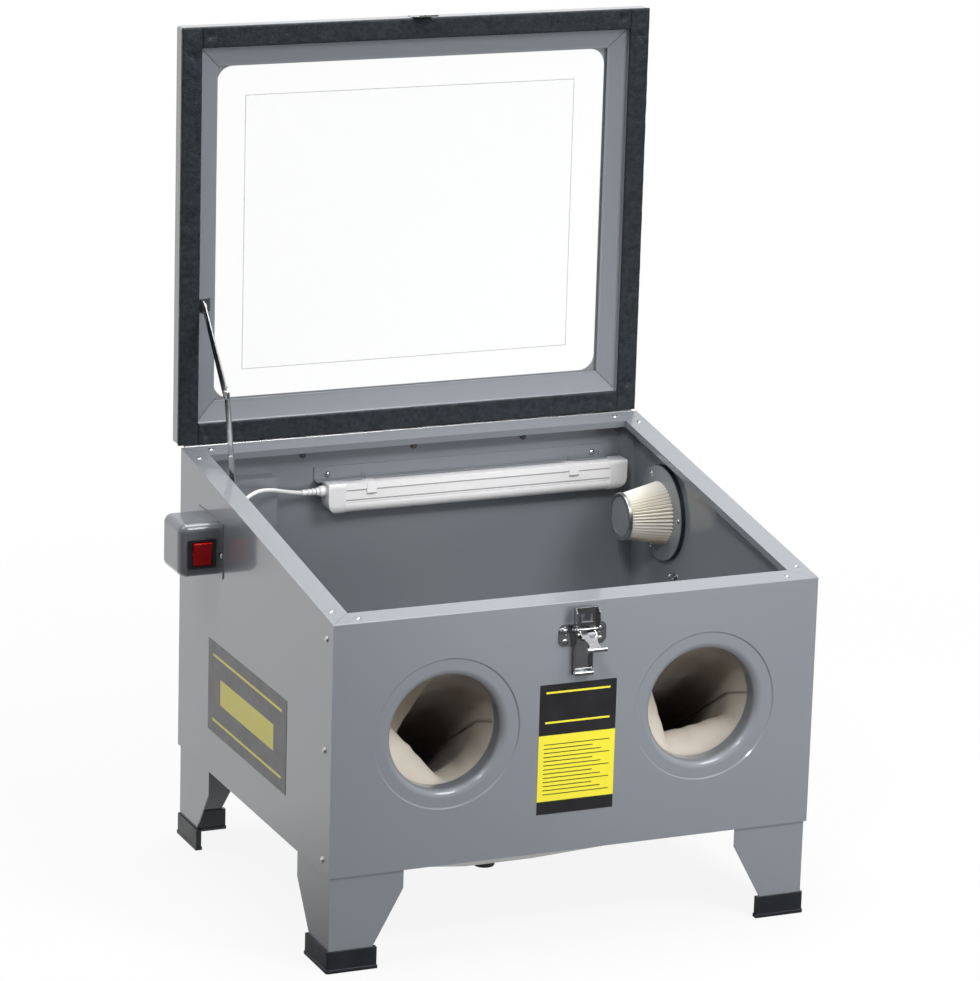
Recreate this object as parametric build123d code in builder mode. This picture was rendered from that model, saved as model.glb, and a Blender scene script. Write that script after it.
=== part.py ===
from build123d import *
from math import atan2, cos, degrees, hypot, pi, radians, sin, tan
import os

os.makedirs("parts", exist_ok=True)

# ---------------------------------------------------------------- driving sizes, mm and degrees
# Tub of the cabinet
CABINET_W = 580.0
CABINET_D = 481.4
LEG_LIFT = 110.0              # under side of the tub above the bench
FRONT_H = 286.6
BACK_H = 359.3
SHEET = 1.2
BEND_R = 0.9                   # outside of the panels' sharp bends
RIM_FLANGE = 26.0
RIM_LIP = 8.0
MITRE_GAP = 0.4
BOTTOM_FLANGE = 20.0
CORNER_RETURN = 22.0
SEAT_GAP = 0.3                # gap between pieces that are not clamped face to face

# How far the fittings reach past the tub, which places its middle over the origin
SWITCH_REACH = 48.0
SPIGOT_REACH = 48.0
LATCH_REACH = 42.0
HINGE_SETBACK = 3.1           # hinge axis behind the back face
HINGE_DROP = 1.8              # hinge axis below the back edge of the rim
GASKET_GAP = 0.3
GASKET_T = 5.0
LID_DEPTH = 15.0

SLOPE = degrees(atan2(BACK_H - FRONT_H, CABINET_D))
RIM_SLOPE = tan(radians(SLOPE))
OPEN_ANGLE = 90.0 + SLOPE
HINGE_LIFT = (HINGE_DROP + HINGE_SETBACK * RIM_SLOPE) * cos(radians(SLOPE))
GASKET_SETBACK = HINGE_SETBACK + HINGE_LIFT + GASKET_GAP
LID_REACH = GASKET_SETBACK + GASKET_T + LID_DEPTH

LEFT_X = SWITCH_REACH - (CABINET_W + SWITCH_REACH + SPIGOT_REACH) / 2
RIGHT_X = LEFT_X + CABINET_W
MID_X = (LEFT_X + RIGHT_X) / 2
FRONT_Y = LATCH_REACH - (CABINET_D + LATCH_REACH + LID_REACH) / 2
BACK_Y = FRONT_Y + CABINET_D
MID_Y = (FRONT_Y + BACK_Y) / 2
TUB_Z = LEG_LIFT
FRONT_TOP_Z = TUB_Z + FRONT_H
BACK_TOP_Z = TUB_Z + BACK_H
RIM_LEN = hypot(CABINET_D, BACK_H - FRONT_H)

# Fasteners: shank, head and height of head, with the clearance of their holes
HOLE_CLEAR = 0.1
RIM_SCREW_D = 4.0
RIM_SCREW_HEAD_D = 7.4
RIM_SCREW_HEAD_H = 1.6
SIDE_SCREW_D = 4.0
SIDE_SCREW_HEAD_D = 8.0
SIDE_SCREW_HEAD_H = 2.4
SMALL_SCREW_D = 3.0
SMALL_SCREW_HEAD_D = 7.4
SMALL_SCREW_HEAD_H = 2.0
BOLT_D = 5.0
BOLT_HEAD_D = 9.0
BOLT_HEAD_H = 3.2
NUT_AF = 8.0
NUT_H = 4.0
GRIP_PAST = 3.0               # thread standing past the last sheet


def rim_z(y):
    """Height of the rim's upper face at a depth."""
    return FRONT_TOP_Z + (y - FRONT_Y) * RIM_SLOPE


RIM_NORMAL = (0, -sin(radians(SLOPE)), cos(radians(SLOPE)))
RIM_PLANE = Plane(origin=(LEFT_X, FRONT_Y, FRONT_TOP_Z), x_dir=(1, 0, 0), z_dir=RIM_NORMAL)


# ---------------------------------------------------------------- shared shapes
def block(low, high, mode=Mode.ADD):
    """Box from its lowest to its highest corner, in the open part."""
    size = [b - a for a, b in zip(low, high)]
    with Locations(tuple(low)):
        return Box(*size, align=(Align.MIN, Align.MIN, Align.MIN), mode=mode)


def rod(start, axis, radius, length, mode=Mode.ADD):
    """Round bar from its start along an axis, in the open part."""
    with Locations(Location(Plane(origin=start, z_dir=axis))):
        base = (Align.CENTER, Align.CENTER, Align.MIN)
        return Cylinder(radius, length, align=base, mode=mode)


def cut_sheet(plane, outline, thickness):
    """Flat sheet of an outline on a plane, its thickness along the plane's normal."""
    with BuildPart() as sheet:
        with BuildSketch(plane):
            with BuildLine():
                Polyline(*outline, close=True)
            make_face()
        extrude(amount=thickness)
    return sheet.part


def side_plane(x):
    """Plane across the cabinet at an x, with y and z as its own axes."""
    return Plane(origin=(x, 0, 0), x_dir=(0, 1, 0), z_dir=(1, 0, 0))


def cross_plane(y):
    """Plane facing the front at a depth, with x and z as its own axes."""
    return Plane(origin=(0, y, 0), x_dir=(1, 0, 0), z_dir=(0, -1, 0))


def inset_corners(inset):
    """Corners of the rim's outline drawn in by an inset, on the rim's plane."""
    x1 = CABINET_W - inset
    y1 = RIM_LEN - inset
    return [(inset, inset), (x1, inset), (x1, y1), (inset, y1)]


def rim_strip(side, outer, inner, depth):
    """Strip of sheet along one side of the rim, mitred at both ends: 0 front, 1 right, 2 back, 3 left."""
    far, near = inset_corners(outer), inset_corners(inner)
    ends = [far[side], far[(side + 1) % 4], near[(side + 1) % 4], near[side]]
    along = [(1, 0), (0, 1), (-1, 0), (0, -1)][side]
    pull = [MITRE_GAP / 2, -MITRE_GAP / 2, -MITRE_GAP / 2, MITRE_GAP / 2]
    outline = [(p[0] + along[0] * s, p[1] + along[1] * s) for p, s in zip(ends, pull)]
    return cut_sheet(RIM_PLANE, outline, -depth)


def rim_edge(side):
    """Top flange of a panel with its down-turned lip."""
    flange = rim_strip(side, 0.0, RIM_FLANGE, SHEET)
    lip = rim_strip(side, RIM_FLANGE - SHEET, RIM_FLANGE, RIM_LIP)
    return flange + lip


def domed_screw(shank_d, head_d, head_h, length):
    """Screw with a domed head on the z=0 face and its shank below."""
    edge = head_d / 2
    dome = (edge * edge + head_h * head_h) / (2 * head_h)
    half = atan2(edge, dome - head_h) / 2
    with BuildPart() as screw:
        with BuildSketch(Plane.XZ):
            with BuildLine():
                Line((0, -length), (shank_d / 2, -length))
                Line((shank_d / 2, -length), (shank_d / 2, 0))
                Line((shank_d / 2, 0), (edge, 0))
                ThreePointArc((edge, 0), (dome * sin(half), head_h - dome + dome * cos(half)), (0, head_h))
                Line((0, head_h), (0, -length))
            make_face()
        revolve(axis=Axis.Z)
    return screw.part


def hex_bolt(shank_d, head_d, head_h, length):
    """Bolt with a hexagon head on the z=0 face and its shank below."""
    with BuildPart() as bolt:
        with BuildSketch(Plane.XY):
            RegularPolygon(head_d / 2, 6)
        extrude(amount=head_h)
        rod((0, 0, -length), (0, 0, 1), shank_d / 2, length)
    return bolt.part


def hex_nut(bore_d, across_flats, height):
    """Hexagon nut standing on the z=0 face."""
    with BuildPart() as nut:
        with BuildSketch(Plane.XY):
            RegularPolygon(across_flats / 2, 6, major_radius=False)
            Circle(bore_d / 2 + 0.02, mode=Mode.SUBTRACT)
        extrude(amount=height)
    return nut.part


def place(x, y, z, axis):
    """Place at a point with its own z along an axis."""
    return Location(Plane(origin=(x, y, z), z_dir=axis))


def save(part, name):
    """Label a finished piece and write it."""
    part.part.label = name
    export_step(part.part, f"parts/{name}.step")


# ---------------------------------------------------------------- places shared by several pieces
# Corner screws through rim and gussets, two at each corner
RIM_SCREW_ALONG = 33.0
RIM_SCREW_IN = 10.9
GUSSET_LEG = 46.0
GUSSET_T = 1.5
GUSSET_INSET = 4.0


def rim_screw_points():
    """Corner screws on the rim's plane."""
    points = []
    for x, sx in ((0, 1), (CABINET_W, -1)):
        for y, sy in ((0, 1), (RIM_LEN, -1)):
            points.append((x + sx * RIM_SCREW_ALONG, y + sy * RIM_SCREW_IN))
            points.append((x + sx * RIM_SCREW_IN, y + sy * RIM_SCREW_ALONG))
    return points


RIM_SCREWS = [RIM_PLANE.location * Location((x, y, 0)) for x, y in rim_screw_points()]

# Screws through each side panel into the front panel's returns
SIDE_SCREW_IN = 18.7
SIDE_SCREW_HEIGHTS = (16.0, 141.0, 266.0)
SIDE_SCREWS_LEFT = [place(LEFT_X, FRONT_Y + SIDE_SCREW_IN, TUB_Z + h, (-1, 0, 0)) for h in SIDE_SCREW_HEIGHTS]
SIDE_SCREWS_RIGHT = [place(RIGHT_X, FRONT_Y + SIDE_SCREW_IN, TUB_Z + h, (1, 0, 0)) for h in SIDE_SCREW_HEIGHTS]

# Glove ports
PORT_OFFSET = 154.5
PORT_RISE = 150.5             # centre above the tub's under side
PORT_RING_R = 86.0
PORT_DISH = 1.5
PORT_CLEAR_R = 65.0
PORT_ROLL_R = 9.0
PORT_NECK = 24.0
PORT_XS = (MID_X - PORT_OFFSET, MID_X + PORT_OFFSET)
PORT_Z = TUB_Z + PORT_RISE

# Legs
LEG_T = 1.5
LEG_INSET = 2.5
LEG_FRONT_W = 89.0
LEG_SIDE_W = 99.0
LEG_FRONT_FOOT_W = 54.5
LEG_SIDE_FOOT_W = 60.5
LEG_FRONT_STRAIGHT = 21.5
LEG_SIDE_STRAIGHT = 30.5
LEG_FOOT_Z = 25.3             # start of the taper, just over the rubber foot
LEG_FLANGE = 17.0
LEG_BOLT_ALONG = 40.0
LEG_BOLT_IN = 12.0
CORNERS = [(LEFT_X, FRONT_Y, 1, 1), (RIGHT_X, FRONT_Y, -1, 1), (LEFT_X, BACK_Y, 1, -1), (RIGHT_X, BACK_Y, -1, -1)]


def leg_bolt_points():
    """Bolts through the leg flanges, two at each corner."""
    points = []
    for x, y, sx, sy in CORNERS:
        points.append((x + sx * LEG_BOLT_ALONG, y + sy * LEG_BOLT_IN))
        points.append((x + sx * LEG_BOLT_IN, y + sy * LEG_BOLT_ALONG))
    return points


# Hinge line along the back edge
AXIS_Y = BACK_Y + HINGE_SETBACK
AXIS_Z = BACK_TOP_Z - HINGE_DROP
HINGE_END = 5.0                # hinge stops short of each side
HINGE_L = CABINET_W - 2 * HINGE_END
BARREL_R = 2.5
HINGE_PIN_R = 1.2
PIN_CLEAR = 0.05
LEAF_T = 0.8
LEAF_H = 30.0
KNUCKLES = 23
KNUCKLE_GAP = 0.3
HINGE_BOLT_PITCH = 140.5
HINGE_BOLT_DROP = 18.0
HINGE_BOLT_XS = [MID_X + HINGE_BOLT_PITCH * n for n in (-1.88, -1, 0, 1, 1.88)]

# Lamp on the back wall
LAMP_LEFT = MID_X - 117.0
LAMP_L = 384.0
LAMP_W = 22.0
LAMP_H = 36.0
LAMP_TOP_Z = TUB_Z + 306.5
LAMP_BACK_GAP = 4.5           # between the lamp and the back panel
LAMP_BACK_Y = BACK_Y - SHEET - LAMP_BACK_GAP
LAMP_FRONT_Y = LAMP_BACK_Y - LAMP_W
LAMP_MID_Y = LAMP_BACK_Y - LAMP_W / 2
LAMP_CLIP_W = 12.0
LAMP_CLIP_T = 0.8
LAMP_CLIP_XS = (MID_X - 63.0, MID_X + 197.0)
STRIP_LEFT = MID_X - 125.7
STRIP_L = 373.0
STRIP_T = 1.2
STRIP_H = 15.7
STRIP_FOOT = 12.0
STRIP_Z = LAMP_TOP_Z + LAMP_CLIP_T
STRIP_SCREW_RISE = 6.0
STRIP_SCREW_XS = (MID_X - 108.7, MID_X + 231.6)

# Filter and outlet on the right wall
FILTER_Y = BACK_Y - 89.7
FILTER_Z = TUB_Z + 256.5
FILTER_PLATE_R = 57.0
FILTER_BOLT_R = 50.0
FILTER_BOLT_ANGLES = (57.0, 177.0, 297.0)
FILTER_GASKET_T = 5.0
OUTLET_R = 28.0
WALL_X = RIGHT_X - SHEET
FILTER_SCREWS = [
    (FILTER_Y + FILTER_BOLT_R * cos(radians(a)), FILTER_Z + FILTER_BOLT_R * sin(radians(a)))
    for a in FILTER_BOLT_ANGLES
]

# Switch box on the left wall
BOX_FRONT_Y = BACK_Y - 132.7
BOX_L = 62.0
BOX_Z = TUB_Z + 243.0
BOX_H = 63.0
BEZEL_Z = BOX_Z + 28.2
BOX_R = 10.0
BOX_WALL = 1.2
BOX_FLANGE = 12.0
BOX_FLANGE_LIP = 2.0
BOX_MID_Z = BOX_Z + BOX_H / 2
BOX_SCREWS = [
    (BOX_FRONT_Y - BOX_FLANGE / 2, BEZEL_Z - 2.2),
    (BOX_FRONT_Y + BOX_L + BOX_FLANGE / 2, BEZEL_Z - 2.2),
]

# Lamp cord: route by hand, from the lamp's plug to the grommet in the left wall
CORD_D = 4.8
PLUG_Y = LAMP_MID_Y
PLUG_Z = LAMP_TOP_Z - 8.5
PLUG_END_X = LAMP_LEFT - 29.0
GROMMET_Y = BACK_Y - 81.7
GROMMET_Z = TUB_Z + 287.0
GROMMET_R = 6.0
GROMMET_BORE = 2.45
GROMMET_T = 4.0
INNER_LEFT_X = LEFT_X + SHEET
CORD_END_X = LEFT_X - 1.0
CORD_ROUTE = [
    (PLUG_END_X, PLUG_Y, PLUG_Z),
    (PLUG_END_X - 14.0, PLUG_Y - 3.0, PLUG_Z + 2.5),
    (PLUG_END_X - 31.0, PLUG_Y - 16.0, PLUG_Z + 8.5),
    (PLUG_END_X - 51.0, PLUG_Y - 29.0, PLUG_Z + 15.5),
    (PLUG_END_X - 70.0, PLUG_Y - 40.0, PLUG_Z + 18.5),
    (PLUG_END_X - 88.0, PLUG_Y - 51.0, PLUG_Z + 15.0),
    (CORD_END_X + 40.0, GROMMET_Y + 5.0, GROMMET_Z + 15.5),
    (CORD_END_X + 21.0, GROMMET_Y, GROMMET_Z),
    (CORD_END_X, GROMMET_Y, GROMMET_Z),
]

# Lid stay in its own planes beside the left rim
STAY_PIN_Y = BACK_Y - 100.0
STAY_PIN_Z = BACK_TOP_Z - 66.0
ELBOW_Y = BACK_Y - 66.0
ELBOW_Z = BACK_TOP_Z + 79.0
LID_PIN_Y = BACK_Y + 7.0
LID_PIN_Z = BACK_TOP_Z + 163.0
LINK_T = 1.5
LINK_GAP = 0.3
LINK_R = 7.4
RUN_CLEAR = 0.06
LINK_EYE_R = 5.4
STAY_PIN_R = 3.0
LID_PIN_R = 2.5
EAR_T = 1.2
LIP_CLEAR = 0.6               # between the rim's lip and the ear when the lid is shut
EAR_X = LEFT_X + RIM_FLANGE + LIP_CLEAR
UPPER_X = EAR_X + EAR_T + LINK_GAP
LOWER_X = UPPER_X + LINK_T + LINK_GAP

# Air inlet on the back wall
INLET_X = MID_X - 226.0
INLET_Z = TUB_Z + 285.0
INLET_R = 20.0

# Air nipple and hose eye on the right wall
NIPPLE_Y = BACK_Y - 60.0
NIPPLE_Z = TUB_Z + 60.0
NIPPLE_R = 6.5
HOSE_EYE_Y = BACK_Y - 126.4
HOSE_EYE_Z = TUB_Z + 187.0

# Latch on the front
LATCH_X = MID_X + 2.0
LATCH_Z = TUB_Z + 251.0       # lever pivot
LATCH_OUT = 10.5              # lever pivot in front of the panel
LATCH_SCREW_OUT = 20.5
LATCH_SCREW_DROPS = (-3.0, 8.5)
LATCH_SCREWS = [
    place(LATCH_X + s * LATCH_SCREW_OUT, FRONT_Y, LATCH_Z - d, (0, -1, 0)) for s in (-1, 1) for d in LATCH_SCREW_DROPS
]
LATCH_T = 1.2

# ---------------------------------------------------------------- port rings pressed into the front
with BuildPart() as port_press:
    with BuildSketch(Plane.XY):
        with BuildLine():
            roll_x = PORT_CLEAR_R + PORT_ROLL_R
            roll_y = PORT_DISH + PORT_ROLL_R
            back_r = PORT_ROLL_R - SHEET
            turn = sin(radians(45))
            Line((PORT_RING_R, 0), (PORT_RING_R - PORT_DISH, PORT_DISH))
            Line((PORT_RING_R - PORT_DISH, PORT_DISH), (roll_x, PORT_DISH))
            ThreePointArc(
                (roll_x, PORT_DISH),
                (roll_x - PORT_ROLL_R * turn, roll_y - PORT_ROLL_R * turn),
                (PORT_CLEAR_R, roll_y),
            )
            Line((PORT_CLEAR_R, roll_y), (PORT_CLEAR_R, PORT_NECK))
            Line((PORT_CLEAR_R, PORT_NECK), (PORT_CLEAR_R + SHEET, PORT_NECK))
            Line((PORT_CLEAR_R + SHEET, PORT_NECK), (PORT_CLEAR_R + SHEET, roll_y))
            ThreePointArc(
                (PORT_CLEAR_R + SHEET, roll_y),
                (roll_x - back_r * turn, roll_y - back_r * turn),
                (roll_x, PORT_DISH + SHEET),
            )
            Line((roll_x, PORT_DISH + SHEET), (PORT_RING_R - PORT_DISH, PORT_DISH + SHEET))
            Line((PORT_RING_R - PORT_DISH, PORT_DISH + SHEET), (PORT_RING_R, SHEET))
            Line((PORT_RING_R, SHEET), (PORT_RING_R, 0))
        make_face()
    revolve(axis=Axis.Y)

FRONT_EDGE = rim_edge(0)

with BuildPart() as front_panel:
    with BuildSketch(side_plane(LEFT_X)):
        with BuildLine():
            Polyline(
                (FRONT_Y, TUB_Z),
                (FRONT_Y + SHEET, TUB_Z),
                (FRONT_Y + SHEET, rim_z(FRONT_Y + SHEET)),
                (FRONT_Y, FRONT_TOP_Z),
                close=True,
            )
        make_face()
    extrude(amount=CABINET_W)
    add(FRONT_EDGE)
    fold = front_panel.edges().filter_by(Axis.X).filter_by_position(Axis.Y, FRONT_Y - 0.01, FRONT_Y + 0.01)
    fillet(fold.sort_by(Axis.Z)[-1], BEND_R)
    return_top = rim_z(FRONT_Y) - RIM_LIP
    for x in (LEFT_X + SHEET, RIGHT_X - 2 * SHEET):
        block((x, FRONT_Y, TUB_Z + 2 * SHEET), (x + SHEET, FRONT_Y + CORNER_RETURN, return_top))
    block(
        (LEFT_X + BOTTOM_FLANGE + SHEET, FRONT_Y, TUB_Z),
        (RIGHT_X - BOTTOM_FLANGE - SHEET, FRONT_Y + BOTTOM_FLANGE, TUB_Z + SHEET),
    )
    for x in PORT_XS:
        rod((x, FRONT_Y - 1, PORT_Z), (0, 1, 0), PORT_RING_R, SHEET + 2, mode=Mode.SUBTRACT)
        with Locations((x, FRONT_Y, PORT_Z)):
            add(port_press.part)
    for spot in RIM_SCREWS:
        with Locations(spot):
            Cylinder(RIM_SCREW_D / 2 + HOLE_CLEAR, 8, mode=Mode.SUBTRACT)
    for spot in SIDE_SCREWS_LEFT + SIDE_SCREWS_RIGHT:
        with Locations(spot):
            Cylinder(SIDE_SCREW_D / 2 + HOLE_CLEAR, 12, mode=Mode.SUBTRACT)
    for spot in LATCH_SCREWS:
        with Locations(spot):
            Cylinder(SMALL_SCREW_D / 2 + HOLE_CLEAR, 12, mode=Mode.SUBTRACT)
    for x, y in leg_bolt_points():
        rod((x, y, TUB_Z - 1), (0, 0, 1), BOLT_D / 2 + HOLE_CLEAR, 4, mode=Mode.SUBTRACT)
save(front_panel, "front_panel")


def side_panel(x, inward, side):
    """Side panel with its sloping top flange, bottom flange and rear flange."""
    edge = rim_edge(side)
    y0, y1 = FRONT_Y + SHEET, BACK_Y - SHEET
    start = x if inward > 0 else x - SHEET
    reach = sorted((x, x + inward * BOTTOM_FLANGE))
    with BuildPart() as panel:
        with BuildSketch(side_plane(start)):
            with BuildLine():
                Polyline((y0, TUB_Z), (y1, TUB_Z), (y1, rim_z(y1)), (y0, rim_z(y0)), close=True)
            make_face()
        extrude(amount=SHEET)
        add(edge)
        for low_y, high_y in ((FRONT_Y - 1, y0), (y1, BACK_Y + 1)):
            block((LEFT_X - 1, low_y, TUB_Z), (RIGHT_X + 1, high_y, BACK_TOP_Z + 1), mode=Mode.SUBTRACT)
        block((reach[0], y0, TUB_Z), (reach[1], y1, TUB_Z + SHEET))
        block((reach[0], y1 - SHEET, TUB_Z), (reach[1], y1, rim_z(y1) - RIM_LIP))
        for spot in RIM_SCREWS:
            with Locations(spot):
                Cylinder(RIM_SCREW_D / 2 + HOLE_CLEAR, 8, mode=Mode.SUBTRACT)
        for spot in SIDE_SCREWS_LEFT + SIDE_SCREWS_RIGHT:
            with Locations(spot):
                Cylinder(SIDE_SCREW_D / 2 + HOLE_CLEAR, 12, mode=Mode.SUBTRACT)
        for px, py in leg_bolt_points():
            rod((px, py, TUB_Z - 1), (0, 0, 1), BOLT_D / 2 + HOLE_CLEAR, 4, mode=Mode.SUBTRACT)
    return panel.part


# Left wall: holes for the lamp cord, the switch box screws and the stay bracket
STAY_BASE_W = 18.0
STAY_BASE_T = 1.5
STAY_SCREW_DROPS = (14.0, 26.0)
STAY_SCREWS = [(STAY_PIN_Y, STAY_PIN_Z - d) for d in STAY_SCREW_DROPS]
LEFT_SHEET = side_panel(LEFT_X, 1, 3)
RIGHT_SHEET = side_panel(RIGHT_X, -1, 1)

with BuildPart() as left_side_panel:
    add(LEFT_SHEET)
    rod((LEFT_X - 1, GROMMET_Y, GROMMET_Z), (1, 0, 0), GROMMET_R, 4, mode=Mode.SUBTRACT)
    for y, z in BOX_SCREWS + STAY_SCREWS:
        rod((LEFT_X - 1, y, z), (1, 0, 0), SMALL_SCREW_D / 2 + HOLE_CLEAR, 4, mode=Mode.SUBTRACT)
save(left_side_panel, "left_side_panel")

with BuildPart() as right_side_panel:
    add(RIGHT_SHEET)
    rod((WALL_X - 1, FILTER_Y, FILTER_Z), (1, 0, 0), OUTLET_R, 4, mode=Mode.SUBTRACT)
    for y, z in FILTER_SCREWS:
        rod((WALL_X - 1, y, z), (1, 0, 0), SMALL_SCREW_D / 2 + HOLE_CLEAR, 4, mode=Mode.SUBTRACT)
    rod((WALL_X - 1, NIPPLE_Y, NIPPLE_Z), (1, 0, 0), NIPPLE_R + HOLE_CLEAR, 4, mode=Mode.SUBTRACT)
    rod((WALL_X - 1, HOSE_EYE_Y, HOSE_EYE_Z), (1, 0, 0), SMALL_SCREW_D / 2 + HOLE_CLEAR, 4, mode=Mode.SUBTRACT)
save(right_side_panel, "right_side_panel")

BACK_EDGE = rim_edge(2)
BAFFLE_SCREW_HALF = 34.0
BAFFLE_SCREW_RISE = 29.0
BAFFLE_SCREWS = [(INLET_X + s * BAFFLE_SCREW_HALF, INLET_Z + BAFFLE_SCREW_RISE) for s in (-1, 1)]

with BuildPart() as back_panel:
    with BuildSketch(side_plane(LEFT_X)):
        with BuildLine():
            Polyline(
                (BACK_Y - SHEET, TUB_Z),
                (BACK_Y, TUB_Z),
                (BACK_Y, BACK_TOP_Z),
                (BACK_Y - SHEET, rim_z(BACK_Y - SHEET)),
                close=True,
            )
        make_face()
    extrude(amount=CABINET_W)
    add(BACK_EDGE)
    block(
        (LEFT_X + BOTTOM_FLANGE + SHEET, BACK_Y - BOTTOM_FLANGE, TUB_Z),
        (RIGHT_X - BOTTOM_FLANGE - SHEET, BACK_Y, TUB_Z + SHEET),
    )
    for spot in RIM_SCREWS:
        with Locations(spot):
            Cylinder(RIM_SCREW_D / 2 + HOLE_CLEAR, 8, mode=Mode.SUBTRACT)
    for x, y in leg_bolt_points():
        rod((x, y, TUB_Z - 1), (0, 0, 1), BOLT_D / 2 + HOLE_CLEAR, 4, mode=Mode.SUBTRACT)
    for x in HINGE_BOLT_XS:
        rod((x, BACK_Y - 3, AXIS_Z - HINGE_BOLT_DROP), (0, 1, 0), RIM_SCREW_D / 2 + HOLE_CLEAR, 4, mode=Mode.SUBTRACT)
    for x in STRIP_SCREW_XS:
        rod((x, BACK_Y - 3, STRIP_Z + STRIP_SCREW_RISE), (0, 1, 0), SMALL_SCREW_D / 2 + HOLE_CLEAR, 4, mode=Mode.SUBTRACT)
    for x, z in BAFFLE_SCREWS:
        rod((x, BACK_Y - 3, z), (0, 1, 0), SMALL_SCREW_D / 2 + HOLE_CLEAR, 4, mode=Mode.SUBTRACT)
    rod((INLET_X, BACK_Y - 3, INLET_Z), (0, 1, 0), INLET_R, 4, mode=Mode.SUBTRACT)
save(back_panel, "back_panel")

# ---------------------------------------------------------------- corner gussets and screws of the rim
with BuildPart() as corner_gussets:
    for x, sx in ((0, 1), (CABINET_W, -1)):
        for y, sy in ((0, 1), (RIM_LEN, -1)):
            a = GUSSET_INSET
            b = RIM_FLANGE - SHEET - SEAT_GAP
            outline = [(a, a), (GUSSET_LEG, a), (GUSSET_LEG, b), (b, b), (b, GUSSET_LEG), (a, GUSSET_LEG)]
            with BuildSketch(RIM_PLANE.offset(-SHEET)):
                with BuildLine():
                    Polyline(*[(x + sx * u, y + sy * v) for u, v in outline], close=True)
                make_face()
            extrude(amount=-GUSSET_T)
    for spot in RIM_SCREWS:
        with Locations(spot):
            Cylinder(RIM_SCREW_D / 2 + HOLE_CLEAR, 12, mode=Mode.SUBTRACT)
save(corner_gussets, "corner_gussets")

RIM_SCREW = domed_screw(RIM_SCREW_D, RIM_SCREW_HEAD_D, RIM_SCREW_HEAD_H, SHEET + GUSSET_T + GRIP_PAST)
SIDE_SCREW = domed_screw(SIDE_SCREW_D, SIDE_SCREW_HEAD_D, SIDE_SCREW_HEAD_H, 2 * SHEET + GRIP_PAST)

with BuildPart() as rim_screws:
    with Locations(*RIM_SCREWS):
        add(RIM_SCREW)
save(rim_screws, "rim_screws")

with BuildPart() as side_screws:
    with Locations(*SIDE_SCREWS_LEFT, *SIDE_SCREWS_RIGHT):
        add(SIDE_SCREW)
save(side_screws, "side_screws")

# ---------------------------------------------------------------- hopper, outlet cap and work grate
HOPPER_FLANGE = 24.0
HOPPER_GAP = 3.0
HOPPER_FLOOR_Z = 26.0
OUTLET_HALF = 42.0
OUTLET_BORE_R = 9.4
COLLAR_R = 10.6
COLLAR_H = 12.0
STUD_R = 1.0
STUD_OUT = 0.8
STUD_DROP = 5.0
STUD_Z = HOPPER_FLOOR_Z - STUD_DROP
HOPPER_FLANGE_Z = TUB_Z + SHEET
HOPPER_TOP = (CABINET_W - 2 * HOPPER_FLANGE, CABINET_D - 2 * HOPPER_FLANGE)


def hopper_solid(lift):
    """Solid pyramid of the hopper, lifted by its sheet for the inner face."""
    with BuildPart() as pyramid:
        with BuildSketch(Plane.XY.offset(HOPPER_FLANGE_Z + lift)):
            with Locations((MID_X, MID_Y)):
                Rectangle(*HOPPER_TOP)
        with BuildSketch(Plane.XY.offset(HOPPER_FLOOR_Z + lift)):
            with Locations((MID_X, MID_Y)):
                Rectangle(2 * OUTLET_HALF, 2 * OUTLET_HALF)
        loft(ruled=True)
    return pyramid.part


HOPPER_LIFT = SHEET * 1.1
HOPPER_OUTER = hopper_solid(0)
HOPPER_INNER = hopper_solid(HOPPER_LIFT)
HOPPER_SHELL = HOPPER_OUTER - HOPPER_INNER
WELD_GAP = 0.2


def hopper_wall(n):
    """One sloping plate of the hopper, cut to its mitres: 0 front, 1 right, 2 back, 3 left."""
    across = n % 2 == 1
    half_u, half_v = reversed(HOPPER_TOP) if across else HOPPER_TOP
    mitres = [
        (-OUTLET_HALF + WELD_GAP, -OUTLET_HALF - WELD_GAP),
        (OUTLET_HALF - WELD_GAP, -OUTLET_HALF - WELD_GAP),
        (half_u / 2 - WELD_GAP, -half_v / 2),
        (-half_u / 2 + WELD_GAP, -half_v / 2),
    ]
    turn = radians(90 * n)
    with BuildPart() as wall:
        with BuildSketch(Plane.XY.offset(HOPPER_FLOOR_Z)):
            with BuildLine():
                Polyline(
                    *[
                        (MID_X + u * cos(turn) - v * sin(turn), MID_Y + u * sin(turn) + v * cos(turn))
                        for u, v in mitres
                    ],
                    close=True,
                )
            make_face()
        extrude(amount=HOPPER_FLANGE_Z - WELD_GAP - HOPPER_FLOOR_Z)
        add(HOPPER_SHELL, mode=Mode.INTERSECT)
    return wall.part


HOPPER_WALLS = [hopper_wall(n) for n in range(4)]

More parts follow.
